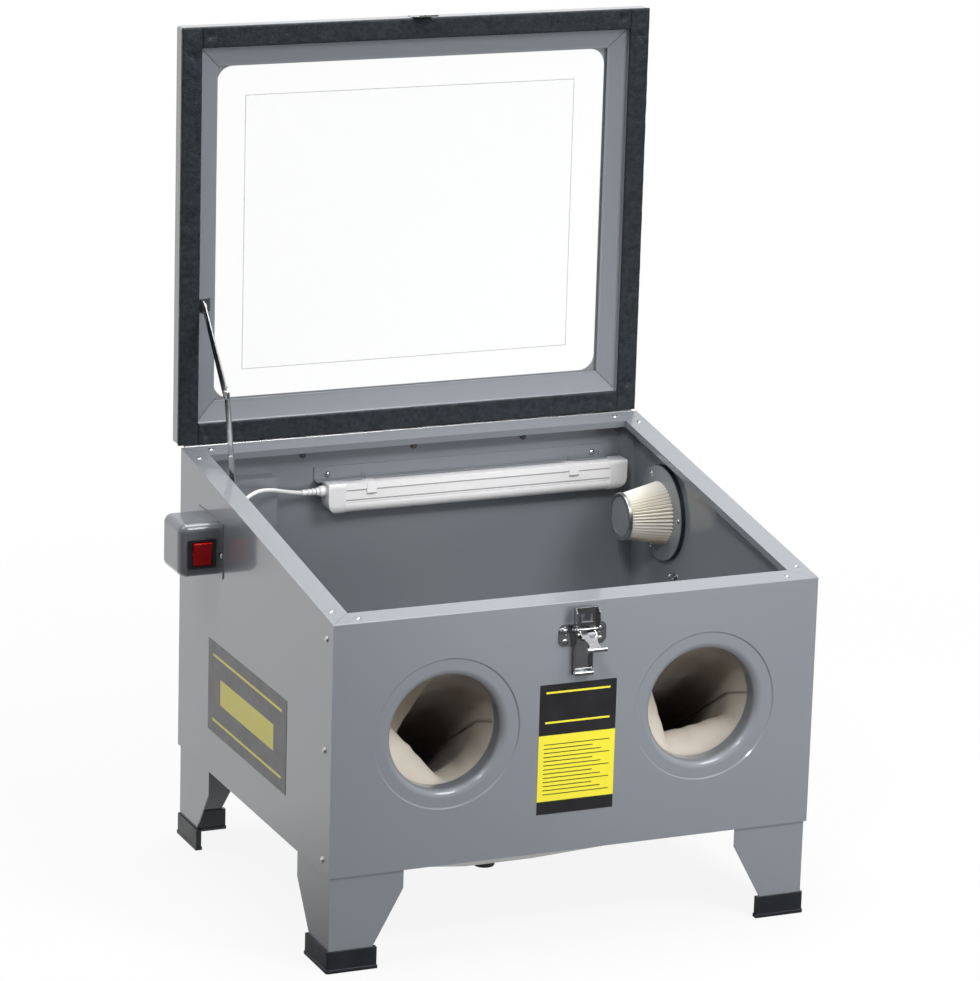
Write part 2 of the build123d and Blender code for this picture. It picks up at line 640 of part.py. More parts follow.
with BuildPart() as hopper:
    with BuildSketch(Plane.XY.offset(HOPPER_FLANGE_Z)):
        with Locations((MID_X, MID_Y)):
            Rectangle(CABINET_W - 2 * (SHEET + HOPPER_GAP), CABINET_D - 2 * (SHEET + HOPPER_GAP))
    extrude(amount=SHEET)
    for x, y in leg_bolt_points():
        rod((x, y, HOPPER_FLANGE_Z - 1), (0, 0, 1), NUT_AF * 0.8, 4, mode=Mode.SUBTRACT)
    for x, sx in ((LEFT_X, 1), (RIGHT_X, -1)):
        for y in (FRONT_Y, BACK_Y):
            with Locations((x, y, HOPPER_FLANGE_Z)):
                Box(2 * (CORNER_RETURN + 8), 2 * (CORNER_RETURN + 8), 6, mode=Mode.SUBTRACT)
    add(HOPPER_INNER, mode=Mode.SUBTRACT)
    add(HOPPER_WALLS)
    block(
        (MID_X - OUTLET_HALF, MID_Y - OUTLET_HALF, HOPPER_FLOOR_Z),
        (MID_X + OUTLET_HALF, MID_Y + OUTLET_HALF, HOPPER_FLOOR_Z + HOPPER_LIFT),
    )
    rod((MID_X, MID_Y, HOPPER_FLOOR_Z - COLLAR_H), (0, 0, 1), COLLAR_R, COLLAR_H)
    rod((MID_X, MID_Y - COLLAR_R - STUD_OUT, STUD_Z), (0, 1, 0), STUD_R, 2 * (COLLAR_R + STUD_OUT))
    rod((MID_X, MID_Y, HOPPER_FLOOR_Z - COLLAR_H - 1), (0, 0, 1), OUTLET_BORE_R, 30, mode=Mode.SUBTRACT)
save(hopper, "hopper")

CAP_WALL = 1.6
CAP_H = 17.0
CAP_RUN = 0.3
CAP_RIB = 1.0
CAP_RIBS = 12
CAP_Z = HOPPER_FLOOR_Z - SEAT_GAP - CAP_H
with BuildPart() as outlet_cap:
    rod((MID_X, MID_Y, CAP_Z), (0, 0, 1), COLLAR_R + CAP_RUN + CAP_WALL, CAP_H)
    fillet(outlet_cap.faces().sort_by(Axis.Z)[0].edges(), 1.2)
    rod((MID_X, MID_Y, CAP_Z + CAP_H - COLLAR_H - CAP_RUN), (0, 0, 1), COLLAR_R + CAP_RUN, COLLAR_H + 1, mode=Mode.SUBTRACT)
    with Locations((MID_X, MID_Y, CAP_Z + CAP_H / 2 + 1)):
        with PolarLocations(COLLAR_R + CAP_RUN + CAP_WALL, CAP_RIBS):
            Box(CAP_RIB, CAP_RIB * 1.6, CAP_H - 5)
    with BuildSketch(Plane.XY.offset(STUD_Z - STUD_R - CAP_RUN)):
        with Locations((MID_X, MID_Y)):
            Circle(COLLAR_R + CAP_RUN + STUD_OUT)
    extrude(amount=2 * (STUD_R + CAP_RUN), mode=Mode.SUBTRACT)
    slot_half = COLLAR_R + CAP_RUN + STUD_OUT
    block(
        (MID_X - slot_half, MID_Y - STUD_R - CAP_RUN, STUD_Z),
        (MID_X + slot_half, MID_Y + STUD_R + CAP_RUN, HOPPER_FLOOR_Z + 1),
        mode=Mode.SUBTRACT,
    )
save(outlet_cap, "outlet_cap")

GRATE_T = 1.5
GRATE_SIDE_GAP = 24.5
GRATE_HOLE_D = 10.0
GRATE_PITCH = 24.0
GRATE_NX = 21
GRATE_NY = 17
GRATE_Z = HOPPER_FLANGE_Z + SHEET
GRATE_TOP_Z = GRATE_Z + GRATE_T
with BuildPart() as work_grate:
    with BuildSketch(Plane.XY.offset(GRATE_Z)):
        with Locations((MID_X, MID_Y)):
            Rectangle(CABINET_W - 2 * GRATE_SIDE_GAP + 24, CABINET_D - 2 * GRATE_SIDE_GAP + 24)
        for x, y in leg_bolt_points():
            with Locations((x, y)):
                Circle(NUT_AF, mode=Mode.SUBTRACT)
        for x in (LEFT_X, RIGHT_X):
            for y in (FRONT_Y, BACK_Y):
                with Locations((x, y)):
                    Rectangle(2 * (CORNER_RETURN + 8), 2 * (CORNER_RETURN + 8), mode=Mode.SUBTRACT)
        with Locations((MID_X, MID_Y)):
            with GridLocations(GRATE_PITCH, GRATE_PITCH, GRATE_NX, GRATE_NY):
                Circle(GRATE_HOLE_D / 2, mode=Mode.SUBTRACT)
    extrude(amount=GRATE_T)
save(work_grate, "work_grate")

# ---------------------------------------------------------------- legs, their bolts and feet
FOOT_T = 6.5
FOOT_H = 25.0
FOOT_FRONT_W = 58.5
FOOT_SIDE_W = 66.0
FOOT_BEAD = 0.8
FOOT_BEAD_H = 4.0
FOOT_GROOVE_CLEAR = 0.05
FOOT_GROOVE_Z = 5.0
LEG_TOP_Z = TUB_Z
LEG_FLANGE_START = 22.0

with BuildPart() as leg_shape:
    front_outline = [
        (LEG_INSET, FOOT_GROOVE_Z + SEAT_GAP),
        (LEG_FRONT_FOOT_W, FOOT_GROOVE_Z + SEAT_GAP),
        (LEG_FRONT_FOOT_W, LEG_FOOT_Z),
        (LEG_FRONT_W, LEG_TOP_Z - LEG_FRONT_STRAIGHT),
        (LEG_FRONT_W, LEG_TOP_Z),
        (LEG_INSET, LEG_TOP_Z),
    ]
    side_outline = [
        (LEG_INSET, FOOT_GROOVE_Z + SEAT_GAP),
        (LEG_SIDE_FOOT_W, FOOT_GROOVE_Z + SEAT_GAP),
        (LEG_SIDE_FOOT_W, LEG_FOOT_Z),
        (LEG_SIDE_W, LEG_TOP_Z - LEG_SIDE_STRAIGHT),
        (LEG_SIDE_W, LEG_TOP_Z),
        (LEG_INSET, LEG_TOP_Z),
    ]
    with BuildSketch(cross_plane(LEG_INSET + LEG_T)):
        with BuildLine():
            Polyline(*front_outline, close=True)
        make_face()
    extrude(amount=LEG_T)
    with BuildSketch(side_plane(LEG_INSET)):
        with BuildLine():
            Polyline(*side_outline, close=True)
        make_face()
    extrude(amount=LEG_T)
    flange_end = LEG_INSET + LEG_T + LEG_FLANGE - 1.0
    block((LEG_FLANGE_START, LEG_INSET, LEG_TOP_Z - LEG_T), (LEG_FRONT_W - 2, flange_end, LEG_TOP_Z))
    block((LEG_INSET, LEG_INSET, LEG_TOP_Z - LEG_T), (flange_end, LEG_SIDE_W - 2, LEG_TOP_Z))
    for x, y in ((LEG_BOLT_ALONG, LEG_BOLT_IN), (LEG_BOLT_IN, LEG_BOLT_ALONG)):
        rod((x, y, LEG_TOP_Z - 4), (0, 0, 1), BOLT_D / 2 + HOLE_CLEAR, 6, mode=Mode.SUBTRACT)

with BuildPart() as foot_shape:
    block((0, 0, 0), (FOOT_FRONT_W, FOOT_T, FOOT_H))
    block((0, 0, 0), (FOOT_T, FOOT_SIDE_W, FOOT_H))
    fillet(foot_shape.edges().filter_by(Axis.Z).sort_by_distance((0, 0, FOOT_H / 2))[0], 3)
    block((-FOOT_BEAD, -FOOT_BEAD, 0), (FOOT_FRONT_W + FOOT_BEAD, FOOT_T + FOOT_BEAD, FOOT_BEAD_H))
    block((-FOOT_BEAD, -FOOT_BEAD, 0), (FOOT_T + FOOT_BEAD, FOOT_SIDE_W + FOOT_BEAD, FOOT_BEAD_H))
    fillet(foot_shape.edges().filter_by(Axis.Z).sort_by_distance((-FOOT_BEAD, -FOOT_BEAD, 0))[0], 3)
    g0 = LEG_INSET - FOOT_GROOVE_CLEAR
    g1 = LEG_INSET + LEG_T + FOOT_GROOVE_CLEAR
    front_end = LEG_FRONT_FOOT_W + FOOT_GROOVE_CLEAR
    side_end = LEG_SIDE_FOOT_W + FOOT_GROOVE_CLEAR
    block((g0, g0, FOOT_GROOVE_Z), (front_end, g1, FOOT_H + 1), mode=Mode.SUBTRACT)
    block((g0, g0, FOOT_GROOVE_Z), (g1, side_end, FOOT_H + 1), mode=Mode.SUBTRACT)


def at_corner(shape, x, y, sx, sy):
    """Copy of a corner piece, mirrored for the corner it goes to."""
    copy = shape
    if sx < 0:
        copy = mirror(copy, about=Plane.YZ)
    if sy < 0:
        copy = mirror(copy, about=Plane.XZ)
    return Location((x, y, 0)) * copy


LEGS = [at_corner(leg_shape.part, *corner) for corner in CORNERS]
FEET = [at_corner(foot_shape.part, *corner) for corner in CORNERS]

with BuildPart() as legs:
    add(LEGS)
save(legs, "legs")

with BuildPart() as rubber_feet:
    add(FEET)
save(rubber_feet, "rubber_feet")

LEG_BOLT = hex_bolt(BOLT_D, BOLT_HEAD_D, BOLT_HEAD_H, LEG_T + SHEET + NUT_H + 1)
LEG_NUT = hex_nut(BOLT_D, NUT_AF, NUT_H)
with BuildPart() as leg_bolts:
    for x, y in leg_bolt_points():
        with Locations(place(x, y, LEG_TOP_Z - LEG_T, (0, 0, -1))):
            add(LEG_BOLT)
        with Locations((x, y, TUB_Z + SHEET)):
            add(LEG_NUT)
save(leg_bolts, "leg_bolts")

# ---------------------------------------------------------------- glove sleeves and their clamps
CLOTH_T = 1.2
NECK_FIT = 0.1
NECK_SAG = 0.02               # the cloth's ring is this much lower than wide
SLEEVE_R = PORT_CLEAR_R + SHEET + NECK_FIT + CLOTH_T
SLEEVE_START = 12.0
SLEEVE_STRAIGHT = 26.0
HAND_Z = GRATE_TOP_Z + SEAT_GAP
FOLDS = 8
FINGER_R = 9.5
FINGER_PITCH = 20.0
# depth behind the front, sideways shift, height of centre, half width, half height, fold depth
SLEEVE_SECTIONS = [
    (SLEEVE_START, 0.0, PORT_Z, SLEEVE_R, SLEEVE_R - NECK_SAG, 0.0),
    (SLEEVE_STRAIGHT, 0.0, PORT_Z, SLEEVE_R, SLEEVE_R - NECK_SAG, 0.0),
    (58.0, 0.0, PORT_Z - 9.0, 62.0, 58.0, 0.10),
    (108.0, 2.0, PORT_Z - 43.0, 56.0, 51.0, 0.16),
    (160.0, 4.0, PORT_Z - 80.0, 52.0, 40.0, 0.14),
    (212.0, 4.0, HAND_Z + 32.0, 45.0, 30.0, 0.08),
    (252.0, 4.0, HAND_Z + 19.0, 46.0, 18.0, 0.03),
    (286.0, 4.0, HAND_Z + 11.0, 40.0, 10.5, 0.0),
]


def fold_points(section, turn, thin):
    """Creases and crests round one section of a sleeve, drawn in by the cloth."""
    depth, shift, height, rx, rz, fold = section
    points = []
    for n in range(2 * FOLDS):
        angle = radians(360 / (2 * FOLDS) * (n + turn))
        pull = 1.0 - fold * (1 + 0.6 * cos(3 * angle)) / 1.6 if n % 2 == 0 else 1.0
        points.append((shift + (rx - thin) * pull * cos(angle), height + (rz - thin) * pull * sin(angle)))
    return points


def folded_tube(x, side, turn, sections, thin):
    """Solid inside a sleeve's outline, from section to section."""
    with BuildPart() as tube:
        for section in sections:
            points = fold_points(section, turn, thin)
            with BuildSketch(cross_plane(FRONT_Y + section[0])):
                with BuildLine():
                    for n in range(0, 2 * FOLDS, 2):
                        a, b, c = points[n], points[n + 1], points[(n + 2) % (2 * FOLDS)]
                        ThreePointArc(*[(x + side * p[0], p[1]) for p in (a, b, c)])
                make_face()
        loft(ruled=True)
    return tube.part


def glove(x, side, turn):
    """Sleeve on a port's neck with its glove lying on the grate."""
    outer = folded_tube(x, side, turn, SLEEVE_SECTIONS, 0.0)
    inner = folded_tube(x, side, turn, SLEEVE_SECTIONS[:6], CLOTH_T)
    hand_x = x + side * SLEEVE_SECTIONS[-1][1]
    finger_y = FRONT_Y + SLEEVE_SECTIONS[-1][0] - 14
    with BuildPart() as cloth:
        add(outer)
        add(inner, mode=Mode.SUBTRACT)
        for n in range(4):
            fx = hand_x + (n - 1.5) * FINGER_PITCH
            length = 52.0 - 4.0 * abs(n - 1.6)
            rod((fx, finger_y, HAND_Z + FINGER_R), (0, 1, 0), FINGER_R, length)
            with Locations((fx, finger_y + length, HAND_Z + FINGER_R)):
                Sphere(FINGER_R)
        thumb = (-side * 0.6, 0.8, 0)
        thumb_y = FRONT_Y + SLEEVE_SECTIONS[-2][0]
        rod((hand_x - side * 24, thumb_y - 6, HAND_Z + FINGER_R), thumb, FINGER_R, 44)
        with Locations((hand_x - side * 24 + thumb[0] * 44, thumb_y - 6 + thumb[1] * 44, HAND_Z + FINGER_R)):
            Sphere(FINGER_R)
    return cloth.part


LEFT_CLOTH = glove(PORT_XS[0], -1, 0.0)
RIGHT_CLOTH = glove(PORT_XS[1], 1, 0.6)

with BuildPart() as left_glove:
    add(LEFT_CLOTH)
save(left_glove, "left_glove")

with BuildPart() as right_glove:
    add(RIGHT_CLOTH)
save(right_glove, "right_glove")

CLAMP_T = 1.0
CLAMP_W = 9.0
CLAMP_R = SLEEVE_R + NECK_FIT
CLAMP_Y = FRONT_Y + SLEEVE_START + 1.0
WORM_L = 16.0
WORM_W = 8.0
WORM_R = 3.0
with BuildPart() as port_clamps:
    for x in PORT_XS:
        with BuildSketch(Plane.XZ.offset(-CLAMP_Y)):
            with Locations((x, PORT_Z)):
                Circle(CLAMP_R + CLAMP_T)
                Circle(CLAMP_R, mode=Mode.SUBTRACT)
        extrude(amount=-CLAMP_W)
        worm_z = PORT_Z + CLAMP_R + CLAMP_T / 2
        block(
            (x - WORM_L / 2, CLAMP_Y + 0.5, worm_z),
            (x + WORM_L / 2, CLAMP_Y + 0.5 + WORM_W, worm_z + 2 * WORM_R + 1),
        )
        rod((x - WORM_L / 2 - 5, CLAMP_Y + CLAMP_W / 2, worm_z + WORM_R + 0.8), (1, 0, 0), WORM_R, WORM_L + 6)
save(port_clamps, "port_clamps")

# ---------------------------------------------------------------- labels, plain fields
LABEL_T = 0.3
FRONT_LABEL_W = 92.0
FRONT_LABEL_H = 149.5
FRONT_LABEL_RISE = 45.0
SIDE_LABEL_L = 249.0
SIDE_LABEL_H = 109.0
SIDE_LABEL_RISE = 52.0
SIDE_LABEL_Y = MID_Y + 15.5
with BuildPart() as front_label:
    block(
        (MID_X - FRONT_LABEL_W / 2, FRONT_Y - LABEL_T, TUB_Z + FRONT_LABEL_RISE),
        (MID_X + FRONT_LABEL_W / 2, FRONT_Y, TUB_Z + FRONT_LABEL_RISE + FRONT_LABEL_H),
    )
save(front_label, "front_label")

with BuildPart() as side_label:
    block(
        (LEFT_X - LABEL_T, SIDE_LABEL_Y - SIDE_LABEL_L / 2, TUB_Z + SIDE_LABEL_RISE),
        (LEFT_X, SIDE_LABEL_Y + SIDE_LABEL_L / 2, TUB_Z + SIDE_LABEL_RISE + SIDE_LABEL_H),
    )
save(side_label, "side_label")

# ---------------------------------------------------------------- lid, drawn open as it stands
LID_OVER = 1.0                 # lid past each side
LID_SHORT = 0.86               # lid less than the rim's slope
LID_W = CABINET_W + 2 * LID_OVER
LID_L = RIM_LEN - LID_SHORT
LID_BOTTOM_Z = AXIS_Z + BARREL_R
LID_TOP_Z = LID_BOTTOM_Z + LID_L
LID_LEFT = MID_X - LID_W / 2
LID_RIGHT = MID_X + LID_W / 2
GASKET_Y = BACK_Y + GASKET_SETBACK
SHELL_Y = GASKET_Y + GASKET_T
LID_BACK_Y = SHELL_Y + LID_DEPTH
LID_CORNER_R = 3.0
WINDOW_INSET = 48.5
WINDOW_R = 19.0
FRAME_FLANGE = 24.0
FRAME_STEP = 3.0
FRAME_SLOPE_END = 43.0
FRAME_LAND_END = 47.5
GLASS_T = 4.0
GLASS_INSET = 40.0
FILM_T = 0.3
FILM_INSET_X = 85.0
FILM_INSET_Z = 82.0
FILM_SHIFT = 3.5               # stuck on a little to the left
FILM_W = LID_W - 2 * FILM_INSET_X
FILM_L = LID_L - 2 * FILM_INSET_Z
GLASS_Y = LID_BACK_Y - SHEET - GLASS_T
LAND_Y = GLASS_Y - SHEET
STEP_Y = SHELL_Y + FRAME_STEP
LID_LEAF_W = 18.0
LID_BOLT_Y = BACK_Y + 16.2

with BuildPart() as lid_shell:
    block((LID_LEFT, SHELL_Y, LID_BOTTOM_Z), (LID_RIGHT, LID_BACK_Y, LID_TOP_Z))
    fillet(lid_shell.edges().filter_by(Axis.Y), LID_CORNER_R)
    block(
        (LID_LEFT + SHEET, SHELL_Y - 1, LID_BOTTOM_Z + SHEET),
        (LID_RIGHT - SHEET, LID_BACK_Y - SHEET, LID_TOP_Z - SHEET),
        mode=Mode.SUBTRACT,
    )
    with BuildSketch(Plane.XZ.offset(-(LID_BACK_Y - 3))):
        with Locations((MID_X, LID_BOTTOM_Z + LID_L / 2)):
            RectangleRounded(LID_W - 2 * WINDOW_INSET, LID_L - 2 * WINDOW_INSET, WINDOW_R)
    extrude(amount=-6, mode=Mode.SUBTRACT)
    for x in HINGE_BOLT_XS:
        rod((x, LID_BOLT_Y, LID_BOTTOM_Z - 2), (0, 0, 1), RIM_SCREW_D / 2 + HOLE_CLEAR, 5, mode=Mode.SUBTRACT)
save(lid_shell, "lid_shell")

FRAME_PROFILE = [
    (SHEET, SHELL_Y),
    (FRAME_FLANGE, SHELL_Y),
    (FRAME_FLANGE, STEP_Y),
    (FRAME_SLOPE_END, LAND_Y),
    (FRAME_LAND_END, LAND_Y),
    (FRAME_LAND_END, GLASS_Y),
    (FRAME_SLOPE_END - 0.4, GLASS_Y),
    (FRAME_FLANGE - SHEET, STEP_Y + SHEET),
    (FRAME_FLANGE - SHEET, SHELL_Y + SHEET),
    (SHEET, SHELL_Y + SHEET),
]


def frame_side(side):
    """One side of the lid's inner frame with mitred ends: 0 hinge end, 1 right, 2 top, 3 left."""
    across = side % 2 == 1
    length = LID_L if across else LID_W
    half = (LID_W if across else LID_L) / 2
    wedge = [
        (-length / 2 + MITRE_GAP / 2, 0),
        (length / 2 - MITRE_GAP / 2, 0),
        (length / 2 - MITRE_GAP / 2 - 60, 60),
        (-length / 2 + MITRE_GAP / 2 + 60, 60),
    ]
    with BuildPart() as bar:
        with BuildSketch(Plane(origin=(-length / 2, 0, 0), x_dir=(0, 0, 1), z_dir=(1, 0, 0))):
            with BuildLine():
                Polyline(*[(u, -v) for u, v in FRAME_PROFILE], close=True)
            make_face()
        extrude(amount=length)
        with BuildSketch(Plane.XZ.offset(-(SHELL_Y - 5))):
            with BuildLine():
                Polyline(*wedge, close=True)
            make_face()
        extrude(amount=-(LID_DEPTH + 10), mode=Mode.INTERSECT)
    centre = Location((MID_X, 0, LID_BOTTOM_Z + LID_L / 2))
    return centre * Rotation(0, -90 * side, 0) * Location((0, 0, -half)) * bar.part


FRAME_SIDES = [frame_side(n) for n in range(4)]
with BuildPart() as lid_inner_frame:
    add(FRAME_SIDES)
save(lid_inner_frame, "lid_inner_frame")

with BuildPart() as lid_glass:
    block(
        (LID_LEFT + GLASS_INSET, GLASS_Y, LID_BOTTOM_Z + GLASS_INSET),
        (LID_RIGHT - GLASS_INSET, GLASS_Y + GLASS_T, LID_TOP_Z - GLASS_INSET),
    )
save(lid_glass, "lid_glass")

with BuildPart() as lid_film:
    with Locations((MID_X - FILM_SHIFT, GLASS_Y - FILM_T / 2, LID_BOTTOM_Z + LID_L / 2)):
        Box(FILM_W, FILM_T, FILM_L)
save(lid_film, "lid_film")

GASKET_W = 24.0
GASKET_POCKET_R = 4.8
GASKET_POCKET = 1.5


def closed_to_open(y, z):
    """Where a point of the shut lid stands when the lid is open."""
    a = radians(-OPEN_ANGLE)
    dy, dz = y - AXIS_Y, z - AXIS_Z
    return (AXIS_Y + dy * cos(a) - dz * sin(a), AXIS_Z + dy * sin(a) + dz * cos(a))


with BuildPart() as lid_gasket:
    for x in (LID_LEFT, LID_RIGHT - GASKET_W):
        block((x, GASKET_Y, LID_BOTTOM_Z), (x + GASKET_W, SHELL_Y, LID_TOP_Z))
    for z in (LID_BOTTOM_Z, LID_TOP_Z - GASKET_W):
        block(
            (LID_LEFT + GASKET_W + SEAT_GAP, GASKET_Y, z),
            (LID_RIGHT - GASKET_W - SEAT_GAP, SHELL_Y, z + GASKET_W),
        )
    for spot in RIM_SCREWS:
        y, z = closed_to_open(spot.position.Y, spot.position.Z)
        rod((spot.position.X, GASKET_Y - 1, z), (0, 1, 0), GASKET_POCKET_R, 1 + GASKET_POCKET, mode=Mode.SUBTRACT)
save(lid_gasket, "lid_gasket")

# ---------------------------------------------------------------- hinge
KNUCKLE_PITCH = HINGE_L / KNUCKLES
HINGE_LEFT = MID_X - HINGE_L / 2


def leaf(mine, low, high):
    """Hinge leaf with every other knuckle, starting from the first or the second."""
    with BuildPart() as part:
        block(low, high)
        for n in range(KNUCKLES):
            x = HINGE_LEFT + n * KNUCKLE_PITCH
            if n % 2 != mine:
                rod((x, AXIS_Y, AXIS_Z), (1, 0, 0), BARREL_R + KNUCKLE_GAP, KNUCKLE_PITCH, mode=Mode.SUBTRACT)
        for n in range(mine, KNUCKLES, 2):
            x = HINGE_LEFT + n * KNUCKLE_PITCH + KNUCKLE_GAP / 2
            rod((x, AXIS_Y, AXIS_Z), (1, 0, 0), BARREL_R, KNUCKLE_PITCH - KNUCKLE_GAP)
        rod((HINGE_LEFT - 1, AXIS_Y, AXIS_Z), (1, 0, 0), HINGE_PIN_R + PIN_CLEAR, HINGE_L + 2, mode=Mode.SUBTRACT)
    return part.part


BODY_LEAF = leaf(0, (HINGE_LEFT, BACK_Y, AXIS_Z - LEAF_H), (HINGE_LEFT + HINGE_L, BACK_Y + LEAF_T, AXIS_Z))
LID_LEAF = leaf(
    1,
    (HINGE_LEFT, AXIS_Y, AXIS_Z + BARREL_R - LEAF_T),
    (HINGE_LEFT + HINGE_L, AXIS_Y + LID_LEAF_W, AXIS_Z + BARREL_R),
)

with BuildPart() as hinge_body_leaf:
    add(BODY_LEAF)
    for x in HINGE_BOLT_XS:
        rod((x, BACK_Y - 1, AXIS_Z - HINGE_BOLT_DROP), (0, 1, 0), RIM_SCREW_D / 2 + HOLE_CLEAR, 4, mode=Mode.SUBTRACT)
save(hinge_body_leaf, "hinge_body_leaf")

with BuildPart() as hinge_lid_leaf:
    add(LID_LEAF)
    for x in HINGE_BOLT_XS:
        rod((x, LID_BOLT_Y, AXIS_Z - 1), (0, 0, 1), RIM_SCREW_D / 2 + HOLE_CLEAR, 6, mode=Mode.SUBTRACT)
save(hinge_lid_leaf, "hinge_lid_leaf")

with BuildPart() as hinge_pin:
    rod((HINGE_LEFT, AXIS_Y, AXIS_Z), (1, 0, 0), HINGE_PIN_R, HINGE_L)
save(hinge_pin, "hinge_pin")

SMALL_NUT_AF = 6.5
SMALL_NUT_H = 2.6
HINGE_BOLT = domed_screw(RIM_SCREW_D, RIM_SCREW_HEAD_D, RIM_SCREW_HEAD_H, SHEET + LEAF_T + SMALL_NUT_H + 1)
HINGE_NUT = hex_nut(RIM_SCREW_D, SMALL_NUT_AF, SMALL_NUT_H)
with BuildPart() as hinge_bolts:
    for x in HINGE_BOLT_XS:
        z = AXIS_Z - HINGE_BOLT_DROP
        with Locations(place(x, BACK_Y + LEAF_T, z, (0, 1, 0))):
            add(HINGE_BOLT)
        with Locations(place(x, BACK_Y - SHEET, z, (0, -1, 0))):
            add(HINGE_NUT)
save(hinge_bolts, "hinge_bolts")

with BuildPart() as lid_bolts:
    for x in HINGE_BOLT_XS:
        with Locations(place(x, LID_BOLT_Y, LID_BOTTOM_Z - LEAF_T, (0, 0, -1))):
            add(HINGE_BOLT)
        with Locations(place(x, LID_BOLT_Y, LID_BOTTOM_Z + SHEET, (0, 0, 1))):
            add(HINGE_NUT)
save(lid_bolts, "lid_bolts")

# ---------------------------------------------------------------- latch: base, lever and claw
LATCH_PLATE_HALF = 12.0
LATCH_PLATE_H = 58.0
LATCH_PLATE_RISE = 11.0
LATCH_EAR_HALF = 28.5
LATCH_EAR_H = 25.0
CHEEK_HALF = 10.0
CHEEK_R = 4.6
CHEEK_TOP_DROP = 8.0           # keeps the cheeks' upper edge clear of the claw's pin
CHANNEL_OUT = 7.0
LATCH_PIN_R = 1.5
LATCH_LIP_R = 2.2
EAR_RING_R = 5.4
EAR_RING_H = 0.8
CLAW_RAIL = 6.0                # depth of the claw's side flanges
LEVER_HALF = 9.4
LEVER_ROLL_R = 2.5
LEVER_ROLL_HALF = 11.5
LEVER_DROP = 8.5
LEVER_DOWN = 70.0
CLAW_RATIO = -1.34
CLAW_PIN_OUT = 1.0
CLAW_PIN_UP = 6.5
CLAW_HALF = 14.0
CLAW_TIP_OUT = 5.4
CLAW_TIP_UP = 29.8
CLAW_HOOK = 3.2
CLAW_FOOT = 4.6
CLAW_WINDOW_HALF = 6.8
CLAW_WINDOW = (5.8, 14.6)      # drop of its upper and lower edge from the tip
LATCH_Y = FRONT_Y - LATCH_OUT
CLAW_Y = LATCH_Y - CLAW_PIN_OUT
CLAW_Z = LATCH_Z + CLAW_PIN_UP
TIP_Y = FRONT_Y - CLAW_TIP_OUT
TIP_Z = LATCH_Z + CLAW_TIP_UP
ROLL_Y = FRONT_Y - LATCH_REACH + LEVER_ROLL_R
ROLL_Z = LATCH_Z - LEVER_DROP
BASE_TOP_Z = LATCH_Z + LATCH_PLATE_RISE
BASE_Y = FRONT_Y - LATCH_T


def turned(dy, dz, angle):
    """A step in y and z, turned about the x axis."""
    a = radians(angle)
    return (dy * cos(a) - dz * sin(a), dy * sin(a) + dz * cos(a))


def sheet_across(x, outline, thickness, circles=(), holes=()):
    """Sheet standing across the cabinet, with round eyes and holes given as y, z and radius."""
    with BuildPart() as sheet:
        with BuildSketch(side_plane(x)):
            with BuildLine():
                Polyline(*outline, close=True)
            make_face()
            for y, z, radius in circles:
                with Locations((y, z)):
                    Circle(radius)
            for y, z, radius in holes:
                with Locations((y, z)):
                    Circle(radius, mode=Mode.SUBTRACT)
        extrude(amount=thickness)
    return sheet.part


CHEEK_OUTLINE = [
    (BASE_Y, BASE_TOP_Z - CHEEK_TOP_DROP),
    (LATCH_Y, LATCH_Z + CHEEK_R),
    (LATCH_Y, LATCH_Z - CHEEK_R),
    (FRONT_Y - CHANNEL_OUT, LATCH_Z - 15),
    (FRONT_Y - CHANNEL_OUT, BASE_TOP_Z - LATCH_PLATE_H + 8),
    (BASE_Y, BASE_TOP_Z - LATCH_PLATE_H + 2),
]
PIVOT_EYE = [(LATCH_Y, LATCH_Z, CHEEK_R)]
CHEEKS = [
    sheet_across(x, CHEEK_OUTLINE, LATCH_T, PIVOT_EYE)
    for x in (LATCH_X - CHEEK_HALF - LATCH_T, LATCH_X + CHEEK_HALF)
]

EAR_RING = Cylinder(EAR_RING_R, EAR_RING_H + 0.2) - Cylinder(SMALL_SCREW_HEAD_D / 2 + 0.4, EAR_RING_H + 0.2)
EAR_RING_SPOTS = [spot * Location((0, 0, LATCH_T + EAR_RING_H / 2 - 0.1)) for spot in LATCH_SCREWS[::2]]

with BuildPart() as latch_base:
    block(
        (LATCH_X - LATCH_PLATE_HALF, BASE_Y, BASE_TOP_Z - LATCH_PLATE_H),
        (LATCH_X + LATCH_PLATE_HALF, FRONT_Y, BASE_TOP_Z),
    )
    with BuildSketch(cross_plane(FRONT_Y)):
        with Locations((LATCH_X, BASE_TOP_Z - LATCH_EAR_H / 2)):
            RectangleRounded(2 * LATCH_EAR_HALF, LATCH_EAR_H, 7)
    extrude(amount=LATCH_T)
    add(CHEEKS)
    block(
        (LATCH_X - CHEEK_HALF - LATCH_T, FRONT_Y - CHANNEL_OUT - 2, BASE_TOP_Z - LATCH_PLATE_H),
        (LATCH_X + CHEEK_HALF + LATCH_T, BASE_Y, BASE_TOP_Z - LATCH_PLATE_H + 2.2),
    )
    rod(
        (LATCH_X - CHEEK_HALF - LATCH_T, FRONT_Y - CHANNEL_OUT, BASE_TOP_Z - LATCH_PLATE_H + LATCH_LIP_R),
        (1, 0, 0),
        LATCH_LIP_R,
        2 * (CHEEK_HALF + LATCH_T),
    )
    with Locations(*EAR_RING_SPOTS):
        add(EAR_RING)
    rod(
        (LATCH_X - CHEEK_HALF - LATCH_T - 0.4, LATCH_Y, LATCH_Z),
        (1, 0, 0),
        LATCH_PIN_R,
        2 * (CHEEK_HALF + LATCH_T + 0.4),
    )
    for spot in LATCH_SCREWS:
        with Locations(spot):
            Cylinder(SMALL_SCREW_D / 2 + HOLE_CLEAR, 12, mode=Mode.SUBTRACT)
save(latch_base, "latch_base")

